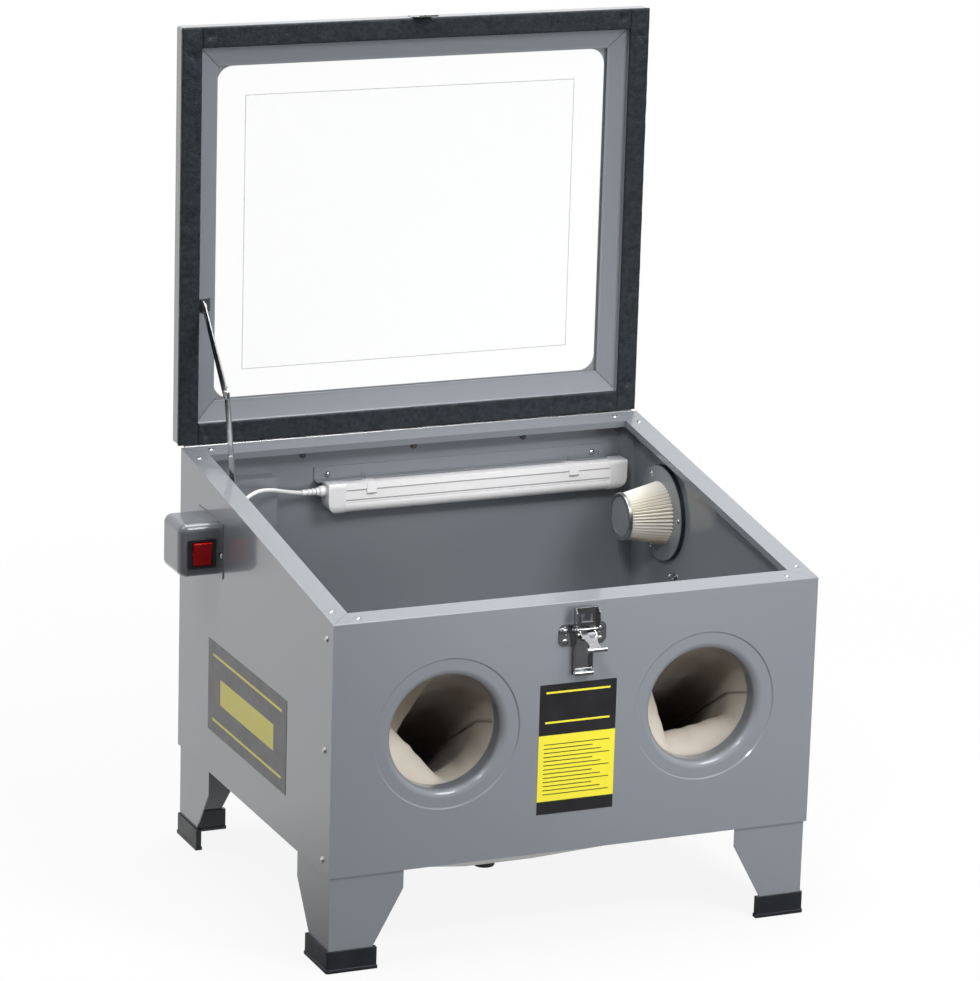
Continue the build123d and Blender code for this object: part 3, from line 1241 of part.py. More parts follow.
ARM_OUTLINE = [
    (LATCH_Y, LATCH_Z - 3.8),
    (LATCH_Y + 3.8, LATCH_Z),
    (CLAW_Y + 2.8, CLAW_Z + 0.8),
    (CLAW_Y, CLAW_Z + 2.8),
    (LATCH_Y - 5.0, LATCH_Z + 4.0),
    (LATCH_Y - 14.0, LATCH_Z - 0.2),
    (LATCH_Y - 10.0, LATCH_Z - 3.4),
]
ARM_EYES = [(LATCH_Y, LATCH_Z, 3.8), (CLAW_Y, CLAW_Z, 2.8)]
ARM_HOLES = [(LATCH_Y, LATCH_Z, LATCH_PIN_R + RUN_CLEAR), (CLAW_Y, CLAW_Z, LATCH_PIN_R + RUN_CLEAR)]
ARMS = [
    sheet_across(x, ARM_OUTLINE, LATCH_T, ARM_EYES, ARM_HOLES)
    for x in (LATCH_X - LEVER_HALF, LATCH_X + LEVER_HALF - LATCH_T)
]
HANDLE_Y = LATCH_Y - 4.6
HANDLE_Z = LATCH_Z + 4.0
HANDLE_L = hypot(HANDLE_Y - ROLL_Y, HANDLE_Z - ROLL_Z)
HANDLE_PLANE = Plane(
    origin=(LATCH_X, HANDLE_Y, HANDLE_Z),
    x_dir=(1, 0, 0),
    z_dir=(0, -(HANDLE_Z - ROLL_Z) / HANDLE_L, (HANDLE_Y - ROLL_Y) / HANDLE_L),
)
HANDLE_HALF = [
    (LEVER_HALF, 0),
    (LEVER_HALF, -5),
    (7.4, -10),
    (5.6, -HANDLE_L * 0.62),
    (6.4, -HANDLE_L * 0.8),
    (LEVER_ROLL_HALF, -HANDLE_L),
]
HANDLE = cut_sheet(HANDLE_PLANE, HANDLE_HALF + [(-u, v) for u, v in reversed(HANDLE_HALF)], -LATCH_T)

with BuildPart() as latch_lever:
    add(ARMS)
    add(HANDLE)
    rod((LATCH_X - LEVER_ROLL_HALF, ROLL_Y, ROLL_Z), (1, 0, 0), LEVER_ROLL_R, 2 * LEVER_ROLL_HALF)
    rod((LATCH_X - LEVER_ROLL_HALF - 1, ROLL_Y, ROLL_Z), (1, 0, 0), 1.2, 2 * LEVER_ROLL_HALF + 2, mode=Mode.SUBTRACT)
save(latch_lever, "latch_lever")

CLAW_CREST_Y = TIP_Y - CLAW_HOOK
CLAW_OUTLINE = [
    (CLAW_Y + 0.4, CLAW_Z + CLAW_FOOT),
    (CLAW_CREST_Y, TIP_Z),
    (TIP_Y, TIP_Z),
    (TIP_Y, TIP_Z + LATCH_T),
    (CLAW_CREST_Y - LATCH_T, TIP_Z + LATCH_T),
    (CLAW_Y - 0.8, CLAW_Z + CLAW_FOOT),
]
TAB_OUTLINE = [
    (CLAW_Y - 2.8, CLAW_Z),
    (CLAW_Y + 2.8, CLAW_Z),
    (CLAW_CREST_Y + 2.2, CLAW_Z + 12),
    (CLAW_CREST_Y + 2.2, TIP_Z),
    (CLAW_CREST_Y - LATCH_T, TIP_Z),
    (CLAW_Y - 0.8, CLAW_Z + CLAW_FOOT),
]
RAIL_OUTLINE = [
    (CLAW_Y - 0.4, CLAW_Z + CLAW_FOOT),
    (CLAW_CREST_Y - 0.4, TIP_Z + LATCH_T),
    (CLAW_CREST_Y - 0.5 * CLAW_RAIL, TIP_Z + LATCH_T),
    (CLAW_CREST_Y - LATCH_T - CLAW_RAIL, TIP_Z - 3),
    (CLAW_Y - CLAW_RAIL, CLAW_Z + CLAW_FOOT + 5),
    (CLAW_Y - 2.8, CLAW_Z),
    (CLAW_Y, CLAW_Z),
]
CLAW_PLATE = sheet_across(LATCH_X - CLAW_HALF, CLAW_OUTLINE, 2 * CLAW_HALF)
TABS = [
    sheet_across(x, outline, LATCH_T, [(CLAW_Y, CLAW_Z, 2.8)])
    for x in (LATCH_X - CLAW_HALF, LATCH_X + CLAW_HALF - LATCH_T)
    for outline in (TAB_OUTLINE, RAIL_OUTLINE)
]
with BuildPart() as latch_claw:
    add(CLAW_PLATE)
    block(
        (LATCH_X - CLAW_WINDOW_HALF, CLAW_Y - 8, TIP_Z - CLAW_WINDOW[1]),
        (LATCH_X + CLAW_WINDOW_HALF, CLAW_Y + 8, TIP_Z - CLAW_WINDOW[0]),
        mode=Mode.SUBTRACT,
    )
    add(TABS)
    rod((LATCH_X - CLAW_HALF - 0.6, CLAW_Y, CLAW_Z), (1, 0, 0), LATCH_PIN_R, 2 * CLAW_HALF + 1.2)
save(latch_claw, "latch_claw")

# Catch on the lid: drawn where the claw's tip grips it with the lid shut, then swung open
CATCH_T = 0.8
CATCH_HALF = 12.0
CATCH_CLEAR = 0.5
CATCH_GRIP = 1.2
SHUT_PIN = turned(-CLAW_PIN_OUT, CLAW_PIN_UP, LEVER_DOWN)
SHUT_TIP = turned(TIP_Y - CLAW_Y, TIP_Z - CLAW_Z, LEVER_DOWN * (1 + CLAW_RATIO))
GRIP_Y = LATCH_Y + SHUT_PIN[0] + SHUT_TIP[0] - CATCH_GRIP
GRIP_Z = LATCH_Z + SHUT_PIN[1] + SHUT_TIP[1] - 0.4
BEND_Z = FRONT_TOP_Z + GASKET_T - 0.6
catch_y = FRONT_Y - CATCH_CLEAR
CATCH_OUTLINE = [
    (SHELL_Y + 14, LID_TOP_Z),
    (SHELL_Y + 2, LID_TOP_Z),
    closed_to_open(catch_y, BEND_Z),
    closed_to_open(catch_y, GRIP_Z - CATCH_T),
    closed_to_open(GRIP_Y, GRIP_Z - CATCH_T),
    closed_to_open(GRIP_Y, GRIP_Z),
    closed_to_open(catch_y - CATCH_T, GRIP_Z),
    closed_to_open(catch_y - CATCH_T, BEND_Z - 0.2),
    (SHELL_Y + 2, LID_TOP_Z + CATCH_T),
    (SHELL_Y + 14, LID_TOP_Z + CATCH_T),
]
CATCH = sheet_across(LATCH_X - CATCH_HALF, CATCH_OUTLINE, 2 * CATCH_HALF)
with BuildPart() as lid_catch:
    add(CATCH)
save(lid_catch, "lid_catch")

# ---------------------------------------------------------------- lid stay
EAR_INSET = EAR_X - LID_LEFT
EAR_FOOT = 13.4
EAR_HALF = 8.0
SLOPE_RISE = (LAND_Y - STEP_Y) / (FRAME_SLOPE_END - FRAME_FLANGE)
HEAD_T = 1.0
STANDOFF_R = 6.0


def slope_y(inset):
    """Front face of the lid's inner frame on its slope."""
    return STEP_Y + (inset - FRAME_FLANGE) * SLOPE_RISE


EAR_FRONT_Y = LID_PIN_Y - 5.0
EAR_OUTLINE = [
    (EAR_X, EAR_FRONT_Y),
    (EAR_X + EAR_T, EAR_FRONT_Y),
    (EAR_X + EAR_T, slope_y(EAR_INSET + EAR_T) - EAR_T),
    (EAR_X + EAR_FOOT, slope_y(EAR_INSET + EAR_FOOT) - EAR_T),
    (EAR_X + EAR_FOOT, slope_y(EAR_INSET + EAR_FOOT)),
    (EAR_X, slope_y(EAR_INSET)),
]
EAR = cut_sheet(Plane.XY.offset(LID_PIN_Z - EAR_HALF), EAR_OUTLINE, 2 * EAR_HALF)
with BuildPart() as stay_lid_bracket:
    add(EAR)
    fillet(stay_lid_bracket.edges().filter_by(Axis.X).sort_by(Axis.Y)[:2], 4.5)
    rod((EAR_X, LID_PIN_Y, LID_PIN_Z), (1, 0, 0), LID_PIN_R, LOWER_X - EAR_X)
    rod((UPPER_X + LINK_T + LINK_GAP, LID_PIN_Y, LID_PIN_Z), (1, 0, 0), LID_PIN_R + 1.3, HEAD_T)
save(stay_lid_bracket, "stay_lid_bracket")


def link(x, start, start_r, end, end_r, bore):
    """Flat link between two eyes given as y and z, bored at the first."""
    with BuildPart() as bar:
        with BuildSketch(side_plane(x)):
            with Locations(start):
                Circle(start_r)
            with Locations(end):
                Circle(end_r)
            make_hull()
            with Locations(start):
                Circle(bore, mode=Mode.SUBTRACT)
        extrude(amount=LINK_T)
    return bar.part


ELBOW = (ELBOW_Y, ELBOW_Z)
UPPER = link(UPPER_X, (LID_PIN_Y, LID_PIN_Z), LINK_EYE_R, ELBOW, LINK_R, LID_PIN_R + RUN_CLEAR)
LOWER = link(LOWER_X, (STAY_PIN_Y, STAY_PIN_Z), LINK_R, ELBOW, LINK_R, STAY_PIN_R + RUN_CLEAR)

with BuildPart() as stay_upper_link:
    add(UPPER)
    rod((UPPER_X - 0.9, *ELBOW), (1, 0, 0), 3.6, 1.2)
save(stay_upper_link, "stay_upper_link")

with BuildPart() as stay_lower_link:
    add(LOWER)
    rod((LOWER_X + LINK_T - 0.2, *ELBOW), (1, 0, 0), 3.6, 1.3)
save(stay_lower_link, "stay_lower_link")

with BuildPart() as stay_wall_bracket:
    block(
        (INNER_LEFT_X, STAY_PIN_Y - STAY_BASE_W / 2, STAY_PIN_Z - STAY_SCREW_DROPS[1] - 7),
        (INNER_LEFT_X + STAY_BASE_T, STAY_PIN_Y + STAY_BASE_W / 2, STAY_PIN_Z + STAY_BASE_W / 2),
    )
    rod((INNER_LEFT_X, STAY_PIN_Y, STAY_PIN_Z), (1, 0, 0), STANDOFF_R, LOWER_X - LINK_GAP - INNER_LEFT_X)
    rod((INNER_LEFT_X, STAY_PIN_Y, STAY_PIN_Z), (1, 0, 0), STAY_PIN_R, LOWER_X + LINK_T + LINK_GAP - INNER_LEFT_X)
    rod((LOWER_X + LINK_T + LINK_GAP, STAY_PIN_Y, STAY_PIN_Z), (1, 0, 0), STAY_PIN_R + 2, HEAD_T + 0.4)
    for y, z in STAY_SCREWS:
        rod((INNER_LEFT_X - 1, y, z), (1, 0, 0), SMALL_SCREW_D / 2 + HOLE_CLEAR, 4, mode=Mode.SUBTRACT)
save(stay_wall_bracket, "stay_wall_bracket")

# ---------------------------------------------------------------- lamp
HOUSING_T = 1.4
HOUSING_H = 20.0
DIFFUSER_T = 1.4
CAP_L = 22.0
CAP_OVER = 0.8
CAP_END_T = 2.0
CAP_FIT = 0.05
LAMP_R = LAMP_W / 2
LAMP_SPLIT_Z = LAMP_TOP_Z - HOUSING_H
LAMP_ARC_Z = LAMP_TOP_Z - LAMP_H + LAMP_R
RIDGE_H = 7.5
RIDGE_OUT = CAP_OVER
BEAD_H = 1.2
BEAD_OUT = 0.4
RIDGE_LEFT = LAMP_LEFT + CAP_L + CAP_FIT
RIDGE_RIGHT = LAMP_LEFT + LAMP_L - CAP_L - CAP_FIT
LAMP_PLANE = side_plane(LAMP_LEFT + CAP_END_T)
TUBE_L = LAMP_L - 2 * CAP_END_T
CLIP_SCREW_Y = LAMP_BACK_Y - 4.4
SMALL_CLEAR_R = SMALL_SCREW_D / 2 + HOLE_CLEAR


def lamp_arc(grow):
    """Rounded underside of the lamp's section, grown by a margin."""
    reach = LAMP_R + grow
    ThreePointArc(
        (LAMP_MID_Y - reach, LAMP_ARC_Z), (LAMP_MID_Y, LAMP_ARC_Z - reach), (LAMP_MID_Y + reach, LAMP_ARC_Z)
    )


def lamp_outline(grow):
    """Outline of the lamp's section, grown all round by a margin."""
    front, back = LAMP_FRONT_Y - grow, LAMP_BACK_Y + grow
    Line((front, LAMP_ARC_Z), (front, LAMP_TOP_Z + grow))
    Line((front, LAMP_TOP_Z + grow), (back, LAMP_TOP_Z + grow))
    Line((back, LAMP_TOP_Z + grow), (back, LAMP_ARC_Z))
    lamp_arc(grow)


with BuildPart() as lamp_housing:
    with BuildSketch(LAMP_PLANE):
        with BuildLine():
            Polyline(
                (LAMP_FRONT_Y, LAMP_SPLIT_Z),
                (LAMP_FRONT_Y, LAMP_TOP_Z),
                (LAMP_BACK_Y, LAMP_TOP_Z),
                (LAMP_BACK_Y, LAMP_SPLIT_Z),
                (LAMP_BACK_Y - HOUSING_T, LAMP_SPLIT_Z),
                (LAMP_BACK_Y - HOUSING_T, LAMP_TOP_Z - HOUSING_T),
                (LAMP_FRONT_Y + HOUSING_T, LAMP_TOP_Z - HOUSING_T),
                (LAMP_FRONT_Y + HOUSING_T, LAMP_SPLIT_Z),
                close=True,
            )
        make_face()
    extrude(amount=TUBE_L)
    block((RIDGE_LEFT, LAMP_FRONT_Y - RIDGE_OUT, LAMP_TOP_Z - RIDGE_H), (RIDGE_RIGHT, LAMP_FRONT_Y, LAMP_TOP_Z))
    for x in LAMP_CLIP_XS:
        rod((x, CLIP_SCREW_Y, LAMP_TOP_Z - 3), (0, 0, 1), SMALL_CLEAR_R, 5, mode=Mode.SUBTRACT)
save(lamp_housing, "lamp_housing")

with BuildPart() as lamp_diffuser:
    with BuildSketch(LAMP_PLANE):
        with BuildLine():
            Line((LAMP_FRONT_Y, LAMP_ARC_Z), (LAMP_FRONT_Y, LAMP_SPLIT_Z))
            Line((LAMP_FRONT_Y, LAMP_SPLIT_Z), (LAMP_FRONT_Y + DIFFUSER_T, LAMP_SPLIT_Z))
            Line((LAMP_FRONT_Y + DIFFUSER_T, LAMP_SPLIT_Z), (LAMP_FRONT_Y + DIFFUSER_T, LAMP_ARC_Z))
            lamp_arc(-DIFFUSER_T)
            Line((LAMP_BACK_Y - DIFFUSER_T, LAMP_ARC_Z), (LAMP_BACK_Y - DIFFUSER_T, LAMP_SPLIT_Z))
            Line((LAMP_BACK_Y - DIFFUSER_T, LAMP_SPLIT_Z), (LAMP_BACK_Y, LAMP_SPLIT_Z))
            Line((LAMP_BACK_Y, LAMP_SPLIT_Z), (LAMP_BACK_Y, LAMP_ARC_Z))
            lamp_arc(0)
        make_face()
    extrude(amount=TUBE_L)
    block(
        (RIDGE_LEFT, LAMP_FRONT_Y - BEAD_OUT, LAMP_SPLIT_Z - BEAD_H),
        (RIDGE_RIGHT, LAMP_FRONT_Y + DIFFUSER_T, LAMP_SPLIT_Z),
    )
save(lamp_diffuser, "lamp_diffuser")

with BuildPart() as lamp_end_caps:
    for x, start in ((LAMP_LEFT, LAMP_LEFT + CAP_END_T), (LAMP_LEFT + LAMP_L - CAP_L, LAMP_LEFT)):
        with BuildSketch(side_plane(x)):
            with BuildLine():
                lamp_outline(CAP_OVER)
            make_face()
        extrude(amount=CAP_L)
    with BuildSketch(LAMP_PLANE):
        with BuildLine():
            lamp_outline(CAP_FIT)
        make_face()
    extrude(amount=TUBE_L, mode=Mode.SUBTRACT)
save(lamp_end_caps, "lamp_end_caps")

CLIP_DOWN = 13.0
with BuildPart() as lamp_clips:
    for x in LAMP_CLIP_XS:
        lip_y = LAMP_FRONT_Y - RIDGE_OUT
        low_y, high_y = lip_y - LAMP_CLIP_T, LAMP_BACK_Y + LAMP_CLIP_T
        left, right = x - LAMP_CLIP_W / 2, x + LAMP_CLIP_W / 2
        block((left, low_y, LAMP_TOP_Z), (right, high_y, LAMP_TOP_Z + LAMP_CLIP_T))
        block((left, low_y, LAMP_TOP_Z - CLIP_DOWN), (right, lip_y, LAMP_TOP_Z + LAMP_CLIP_T))
        block((left, LAMP_BACK_Y, LAMP_TOP_Z - CLIP_DOWN), (right, high_y, LAMP_TOP_Z + LAMP_CLIP_T))
        rod((x, CLIP_SCREW_Y, LAMP_TOP_Z - 1), (0, 0, 1), SMALL_CLEAR_R, 4, mode=Mode.SUBTRACT)
save(lamp_clips, "lamp_clips")

LED_W = 8.0
LED_T = 1.6
with BuildPart() as lamp_light_strip:
    strip_z = LAMP_TOP_Z - HOUSING_T - LED_T
    block(
        (LAMP_LEFT + CAP_END_T + 4, LAMP_MID_Y - LED_W / 2, strip_z),
        (LAMP_LEFT + LAMP_L - CAP_END_T - 4, LAMP_MID_Y + LED_W / 2, strip_z + LED_T),
    )
    with Locations((LAMP_LEFT + LAMP_L / 2, LAMP_MID_Y, strip_z - 0.4)):
        with GridLocations(TUBE_L / 31, 1, 30, 1):
            Box(5, 5, 0.8)
save(lamp_light_strip, "lamp_light_strip")

STRIP_BACK_Y = BACK_Y - SHEET
with BuildPart() as lamp_bracket:
    block((STRIP_LEFT, STRIP_BACK_Y - STRIP_T, STRIP_Z), (STRIP_LEFT + STRIP_L, STRIP_BACK_Y, STRIP_Z + STRIP_H))
    block((STRIP_LEFT, STRIP_BACK_Y - STRIP_FOOT, STRIP_Z), (STRIP_LEFT + STRIP_L, STRIP_BACK_Y, STRIP_Z + STRIP_T))
    for x in STRIP_SCREW_XS:
        rod((x, BACK_Y - 5, STRIP_Z + STRIP_SCREW_RISE), (0, 1, 0), SMALL_CLEAR_R, 6, mode=Mode.SUBTRACT)
    for x in LAMP_CLIP_XS:
        rod((x, CLIP_SCREW_Y, STRIP_Z - 1), (0, 0, 1), SMALL_CLEAR_R, 4, mode=Mode.SUBTRACT)
    for x in (STRIP_LEFT + 9.7, STRIP_LEFT + STRIP_L - 7.9):
        rod((x, BACK_Y - 5, STRIP_Z + STRIP_SCREW_RISE), (0, 1, 0), 1.6, 4, mode=Mode.SUBTRACT)
save(lamp_bracket, "lamp_bracket")

PLUG_STEPS = [(0.0, 6.2), (7.0, 6.2), (9.0, 4.6), (12.0, 4.6)]
PLUG_RIB = 2.4
with BuildPart() as lamp_plug:
    with BuildSketch(Plane(origin=(LAMP_LEFT, PLUG_Y, PLUG_Z), x_dir=(-1, 0, 0), z_dir=(0, 0, 1))):
        with BuildLine():
            outline = [(0, 0)] + PLUG_STEPS
            plug_l = LAMP_LEFT - PLUG_END_X
            ribs = int((plug_l - PLUG_STEPS[-1][0] - 1) / (2 * PLUG_RIB))
            for n in range(ribs):
                step = PLUG_STEPS[-1][0] + 2 * PLUG_RIB * n
                crest = 4.2 - 0.35 * n
                outline += [(step, 3.0), (step + PLUG_RIB, 3.0), (step + PLUG_RIB, crest), (step + 2 * PLUG_RIB, crest)]
            outline += [(plug_l, outline[-1][1]), (plug_l, 0)]
            Polyline(*[(u, -v) for u, v in outline], close=True)
        make_face()
    revolve(axis=Axis((LAMP_LEFT, PLUG_Y, PLUG_Z), (1, 0, 0)))
save(lamp_plug, "lamp_plug")


def corner_radii(route):
    """Largest arcs that the runs of a cord's route allow at its corners."""
    points = [Vector(*p) for p in route]
    radii = []
    for a, b, c in zip(points, points[1:], points[2:]):
        turn = radians((b - a).get_angle(c - b))
        radii.append(0.45 * min((b - a).length, (c - b).length) / tan(turn / 2))
    return radii


CORD_RADII = corner_radii(CORD_ROUTE)
print("lamp cord radii", [round(r, 1) for r in CORD_RADII])
with BuildPart() as lamp_cord:
    with BuildLine() as cord_path:
        FilletPolyline(*CORD_ROUTE, radius=CORD_RADII)
    with BuildSketch(Plane(origin=CORD_ROUTE[0], z_dir=cord_path.line % 0)):
        Circle(CORD_D / 2)
    sweep()
CORD_L = sum(e.length for e in cord_path.edges())
print("lamp cord volume", round(lamp_cord.part.volume), "of", round(CORD_L * pi * CORD_D**2 / 4))
save(lamp_cord, "lamp_cord")

GROMMET_LIP = 2.0
with BuildPart() as cord_grommet:
    lip_x = INNER_LEFT_X + GROMMET_T / 2
    rod((LEFT_X - 1.0, GROMMET_Y, GROMMET_Z), (1, 0, 0), GROMMET_R, lip_x - LEFT_X + 1.0)
    rod((INNER_LEFT_X, GROMMET_Y, GROMMET_Z), (1, 0, 0), GROMMET_R + GROMMET_LIP, GROMMET_T / 2)
    rod((LEFT_X - 2, GROMMET_Y, GROMMET_Z), (1, 0, 0), GROMMET_BORE, 10, mode=Mode.SUBTRACT)
save(cord_grommet, "cord_grommet")

# ---------------------------------------------------------------- switch box
BOX_LEFT_X = LEFT_X - SWITCH_REACH
BEZEL_W = 34.0
BEZEL_OUT = 2.0
BEZEL_X = LEFT_X - 22.0
BEZEL_BODY_W = 29.0
BEZEL_BODY_H = 31.0
BEZEL_BODY_L = 18.0
ROCKER_W = 22.0
ROCKER_H = 26.6
ROCKER_TILT = 9.0
ROCKER_GAP = 0.7
TRUNNION_R = 1.2
TRUNNION = 0.8
GLAND_X = LEFT_X - 24.0
GLAND_Z = BOX_MID_Z
GLAND_R = 7.0
GLAND_BORE = 3.3

with BuildPart() as switch_box:
    block((BOX_LEFT_X, BOX_FRONT_Y, BOX_Z), (LEFT_X, BOX_FRONT_Y + BOX_L, BOX_Z + BOX_H))
    outer_edges = switch_box.edges().filter_by_position(Axis.X, BOX_LEFT_X, LEFT_X - 1)
    fillet(outer_edges, BOX_R)
    with BuildSketch(Plane(origin=(LEFT_X, 0, 0), x_dir=(0, 1, 0), z_dir=(1, 0, 0))):
        with Locations((BOX_FRONT_Y + BOX_L / 2, BOX_MID_Z)):
            RectangleRounded(BOX_L + 2 * BOX_FLANGE, BOX_H + 2 * BOX_FLANGE_LIP, 4)
    extrude(amount=-BOX_WALL)
    with BuildSketch(Plane(origin=(LEFT_X, 0, 0), x_dir=(0, 1, 0), z_dir=(1, 0, 0))):
        with Locations((BOX_FRONT_Y + BOX_L / 2, BOX_MID_Z)):
            RectangleRounded(BOX_L - 2 * BOX_WALL, BOX_H - 2 * BOX_WALL, BOX_R - BOX_WALL)
    extrude(amount=-(SWITCH_REACH - BOX_R), mode=Mode.SUBTRACT)
    pocket_x = BOX_LEFT_X + BOX_R - 0.01
    block(
        (BOX_LEFT_X + BOX_WALL, BOX_FRONT_Y + BOX_R, BOX_Z + BOX_R),
        (pocket_x + 0.02, BOX_FRONT_Y + BOX_L - BOX_R, BOX_Z + BOX_H - BOX_R),
        mode=Mode.SUBTRACT,
    )
    with Locations((BEZEL_X, BOX_FRONT_Y, BEZEL_Z)):
        Box(BEZEL_BODY_W + 0.4, 8, BEZEL_BODY_H + 0.4, mode=Mode.SUBTRACT)
    rod((GLAND_X, BOX_FRONT_Y + BOX_L - 4, GLAND_Z), (0, 1, 0), GLAND_R + HOLE_CLEAR, 8, mode=Mode.SUBTRACT)
    for y, z in BOX_SCREWS:
        rod((LEFT_X - 4, y, z), (1, 0, 0), SMALL_CLEAR_R, 6, mode=Mode.SUBTRACT)
save(switch_box, "switch_box")

ROCKER_Y = BOX_FRONT_Y - BEZEL_OUT + 0.4
with BuildPart() as switch_body:
    with Locations((BEZEL_X, BOX_FRONT_Y - BEZEL_OUT / 2, BEZEL_Z)):
        Box(BEZEL_W, BEZEL_OUT, BEZEL_W)
    fillet(switch_body.edges().filter_by(Axis.Y), 2)
    with Locations((BEZEL_X, BOX_FRONT_Y + BEZEL_BODY_L / 2, BEZEL_Z)):
        Box(BEZEL_BODY_W, BEZEL_BODY_L, BEZEL_BODY_H)
    with Locations((BEZEL_X, BOX_FRONT_Y + 2.0, BEZEL_Z)):
        Box(ROCKER_W + 2 * ROCKER_GAP, 9, ROCKER_H + 2 * ROCKER_GAP + 0.4, mode=Mode.SUBTRACT)
    rod(
        (BEZEL_X - ROCKER_W / 2 - TRUNNION - 0.3, ROCKER_Y, BEZEL_Z),
        (1, 0, 0),
        TRUNNION_R + RUN_CLEAR,
        ROCKER_W + 2 * TRUNNION + 0.6,
        mode=Mode.SUBTRACT,
    )
    for dx in (-7.0, 7.0):
        with Locations((BEZEL_X + dx, BOX_FRONT_Y + BEZEL_BODY_L + 3, BEZEL_Z)):
            Box(0.8, 6, 6.3)
save(switch_body, "switch_body")

ROCKER_FACE = [
    (-2.4, -ROCKER_H / 2),
    (-1.4, 0),
    (-2.4, ROCKER_H / 2),
    (1.6, ROCKER_H / 2),
    (2.6, 0),
    (1.6, -ROCKER_H / 2),
]
ROCKER_OUTLINE = [turned(y, z, ROCKER_TILT) for y, z in ROCKER_FACE]
ROCKER = sheet_across(
    BEZEL_X - ROCKER_W / 2, [(ROCKER_Y + y, BEZEL_Z + z) for y, z in ROCKER_OUTLINE], ROCKER_W
)
with BuildPart() as switch_rocker:
    add(ROCKER)
    rod((BEZEL_X - ROCKER_W / 2 - TRUNNION, ROCKER_Y, BEZEL_Z), (1, 0, 0), TRUNNION_R, ROCKER_W + 2 * TRUNNION)
save(switch_rocker, "switch_rocker")

with BuildPart() as power_supply:
    block(
        (BOX_LEFT_X + BOX_WALL, BOX_FRONT_Y + 27, BOX_MID_Z - 15),
        (BOX_LEFT_X + BOX_WALL + 20, BOX_FRONT_Y + 51, BOX_MID_Z + 15),
    )
save(power_supply, "power_supply")

with BuildPart() as cable_gland:
    gland_y = BOX_FRONT_Y + BOX_L
    rod((GLAND_X, gland_y - BOX_WALL - 5, GLAND_Z), (0, 1, 0), GLAND_R, BOX_WALL + 5 + 14)
    with BuildSketch(Plane(origin=(GLAND_X, gland_y, GLAND_Z), x_dir=(1, 0, 0), z_dir=(0, 1, 0))):
        RegularPolygon(9.0, 6)
    extrude(amount=5)
    with BuildSketch(Plane(origin=(GLAND_X, gland_y - BOX_WALL, GLAND_Z), x_dir=(1, 0, 0), z_dir=(0, -1, 0))):
        RegularPolygon(9.0, 6)
    extrude(amount=3)
    fillet(cable_gland.faces().sort_by(Axis.Y)[-1].edges(), 2)
    rod((GLAND_X, gland_y - 10, GLAND_Z), (0, 1, 0), GLAND_BORE, 30, mode=Mode.SUBTRACT)
save(cable_gland, "cable_gland")

# ---------------------------------------------------------------- filter and outlet
PLATE_T = 1.2
CONE_L = 52.6
CONE_R = 38.3
CONE_TIP_R = 27.0
PLEATS = 48
PLEAT_DEPTH = 4.0
MEDIA_T = 1.2
RING_T = 4.0
RING_LIP = 3.2
PLATE_X = WALL_X - FILTER_GASKET_T - PLATE_T
CONE_TIP_X = PLATE_X - CONE_L
NUT_SMALL_H = 2.4


def star(radius, inward):
    """Pleated ring, alternately out and in, in the open line."""
    points = []
    for n in range(2 * PLEATS):
        r = radius - inward - (PLEAT_DEPTH if n % 2 else 0)
        a = pi * n / PLEATS
        points.append((r * cos(a), r * sin(a)))
    Polyline(*points, close=True)


def pleated_cone(inward):
    """Solid inside the pleats, from the plate to the end ring."""
    with BuildPart() as cone:
        for x, radius in ((PLATE_X, CONE_R), (CONE_TIP_X + RING_T, CONE_TIP_R)):
            with BuildSketch(Plane(origin=(x, FILTER_Y, FILTER_Z), x_dir=(0, 1, 0), z_dir=(1, 0, 0))):
                with BuildLine():
                    star(radius, inward)
                make_face()
        loft(ruled=True)
    return cone.part


MEDIA_OUTER = pleated_cone(0)
MEDIA_INNER = pleated_cone(MEDIA_T)
with BuildPart() as filter_media:
    add(MEDIA_OUTER)
    add(MEDIA_INNER, mode=Mode.SUBTRACT)
save(filter_media, "filter_media")

with BuildPart() as filter_end_ring:
    rod((CONE_TIP_X, FILTER_Y, FILTER_Z), (1, 0, 0), CONE_TIP_R + 1.4, RING_T)
    fillet(filter_end_ring.faces().sort_by(Axis.X)[0].edges(), 1)
    rod((CONE_TIP_X - 1, FILTER_Y, FILTER_Z), (1, 0, 0), CONE_TIP_R - RING_LIP, RING_T + 2, mode=Mode.SUBTRACT)
save(filter_end_ring, "filter_end_ring")

with BuildPart() as filter_end_cap:
    rod((CONE_TIP_X + 0.6, FILTER_Y, FILTER_Z), (1, 0, 0), CONE_TIP_R - RING_LIP - SEAT_GAP / 2, RING_T - 0.6)
save(filter_end_cap, "filter_end_cap")

FILTER_BORE_R = 30.0
with BuildPart() as filter_plate:
    rod((PLATE_X, FILTER_Y, FILTER_Z), (1, 0, 0), FILTER_PLATE_R, PLATE_T)
    rod((PLATE_X - 1, FILTER_Y, FILTER_Z), (1, 0, 0), FILTER_BORE_R, PLATE_T + 2, mode=Mode.SUBTRACT)
    for y, z in FILTER_SCREWS:
        rod((PLATE_X - 1, y, z), (1, 0, 0), SMALL_CLEAR_R, PLATE_T + 2, mode=Mode.SUBTRACT)
save(filter_plate, "filter_plate")

with BuildPart() as filter_gasket:
    rod((PLATE_X + PLATE_T, FILTER_Y, FILTER_Z), (1, 0, 0), FILTER_PLATE_R + 0.5, FILTER_GASKET_T)
    rod((PLATE_X, FILTER_Y, FILTER_Z), (1, 0, 0), FILTER_BORE_R, FILTER_GASKET_T + 4, mode=Mode.SUBTRACT)
    for y, z in FILTER_SCREWS:
        rod((PLATE_X, y, z), (1, 0, 0), SMALL_CLEAR_R, FILTER_GASKET_T + 4, mode=Mode.SUBTRACT)
save(filter_gasket, "filter_gasket")

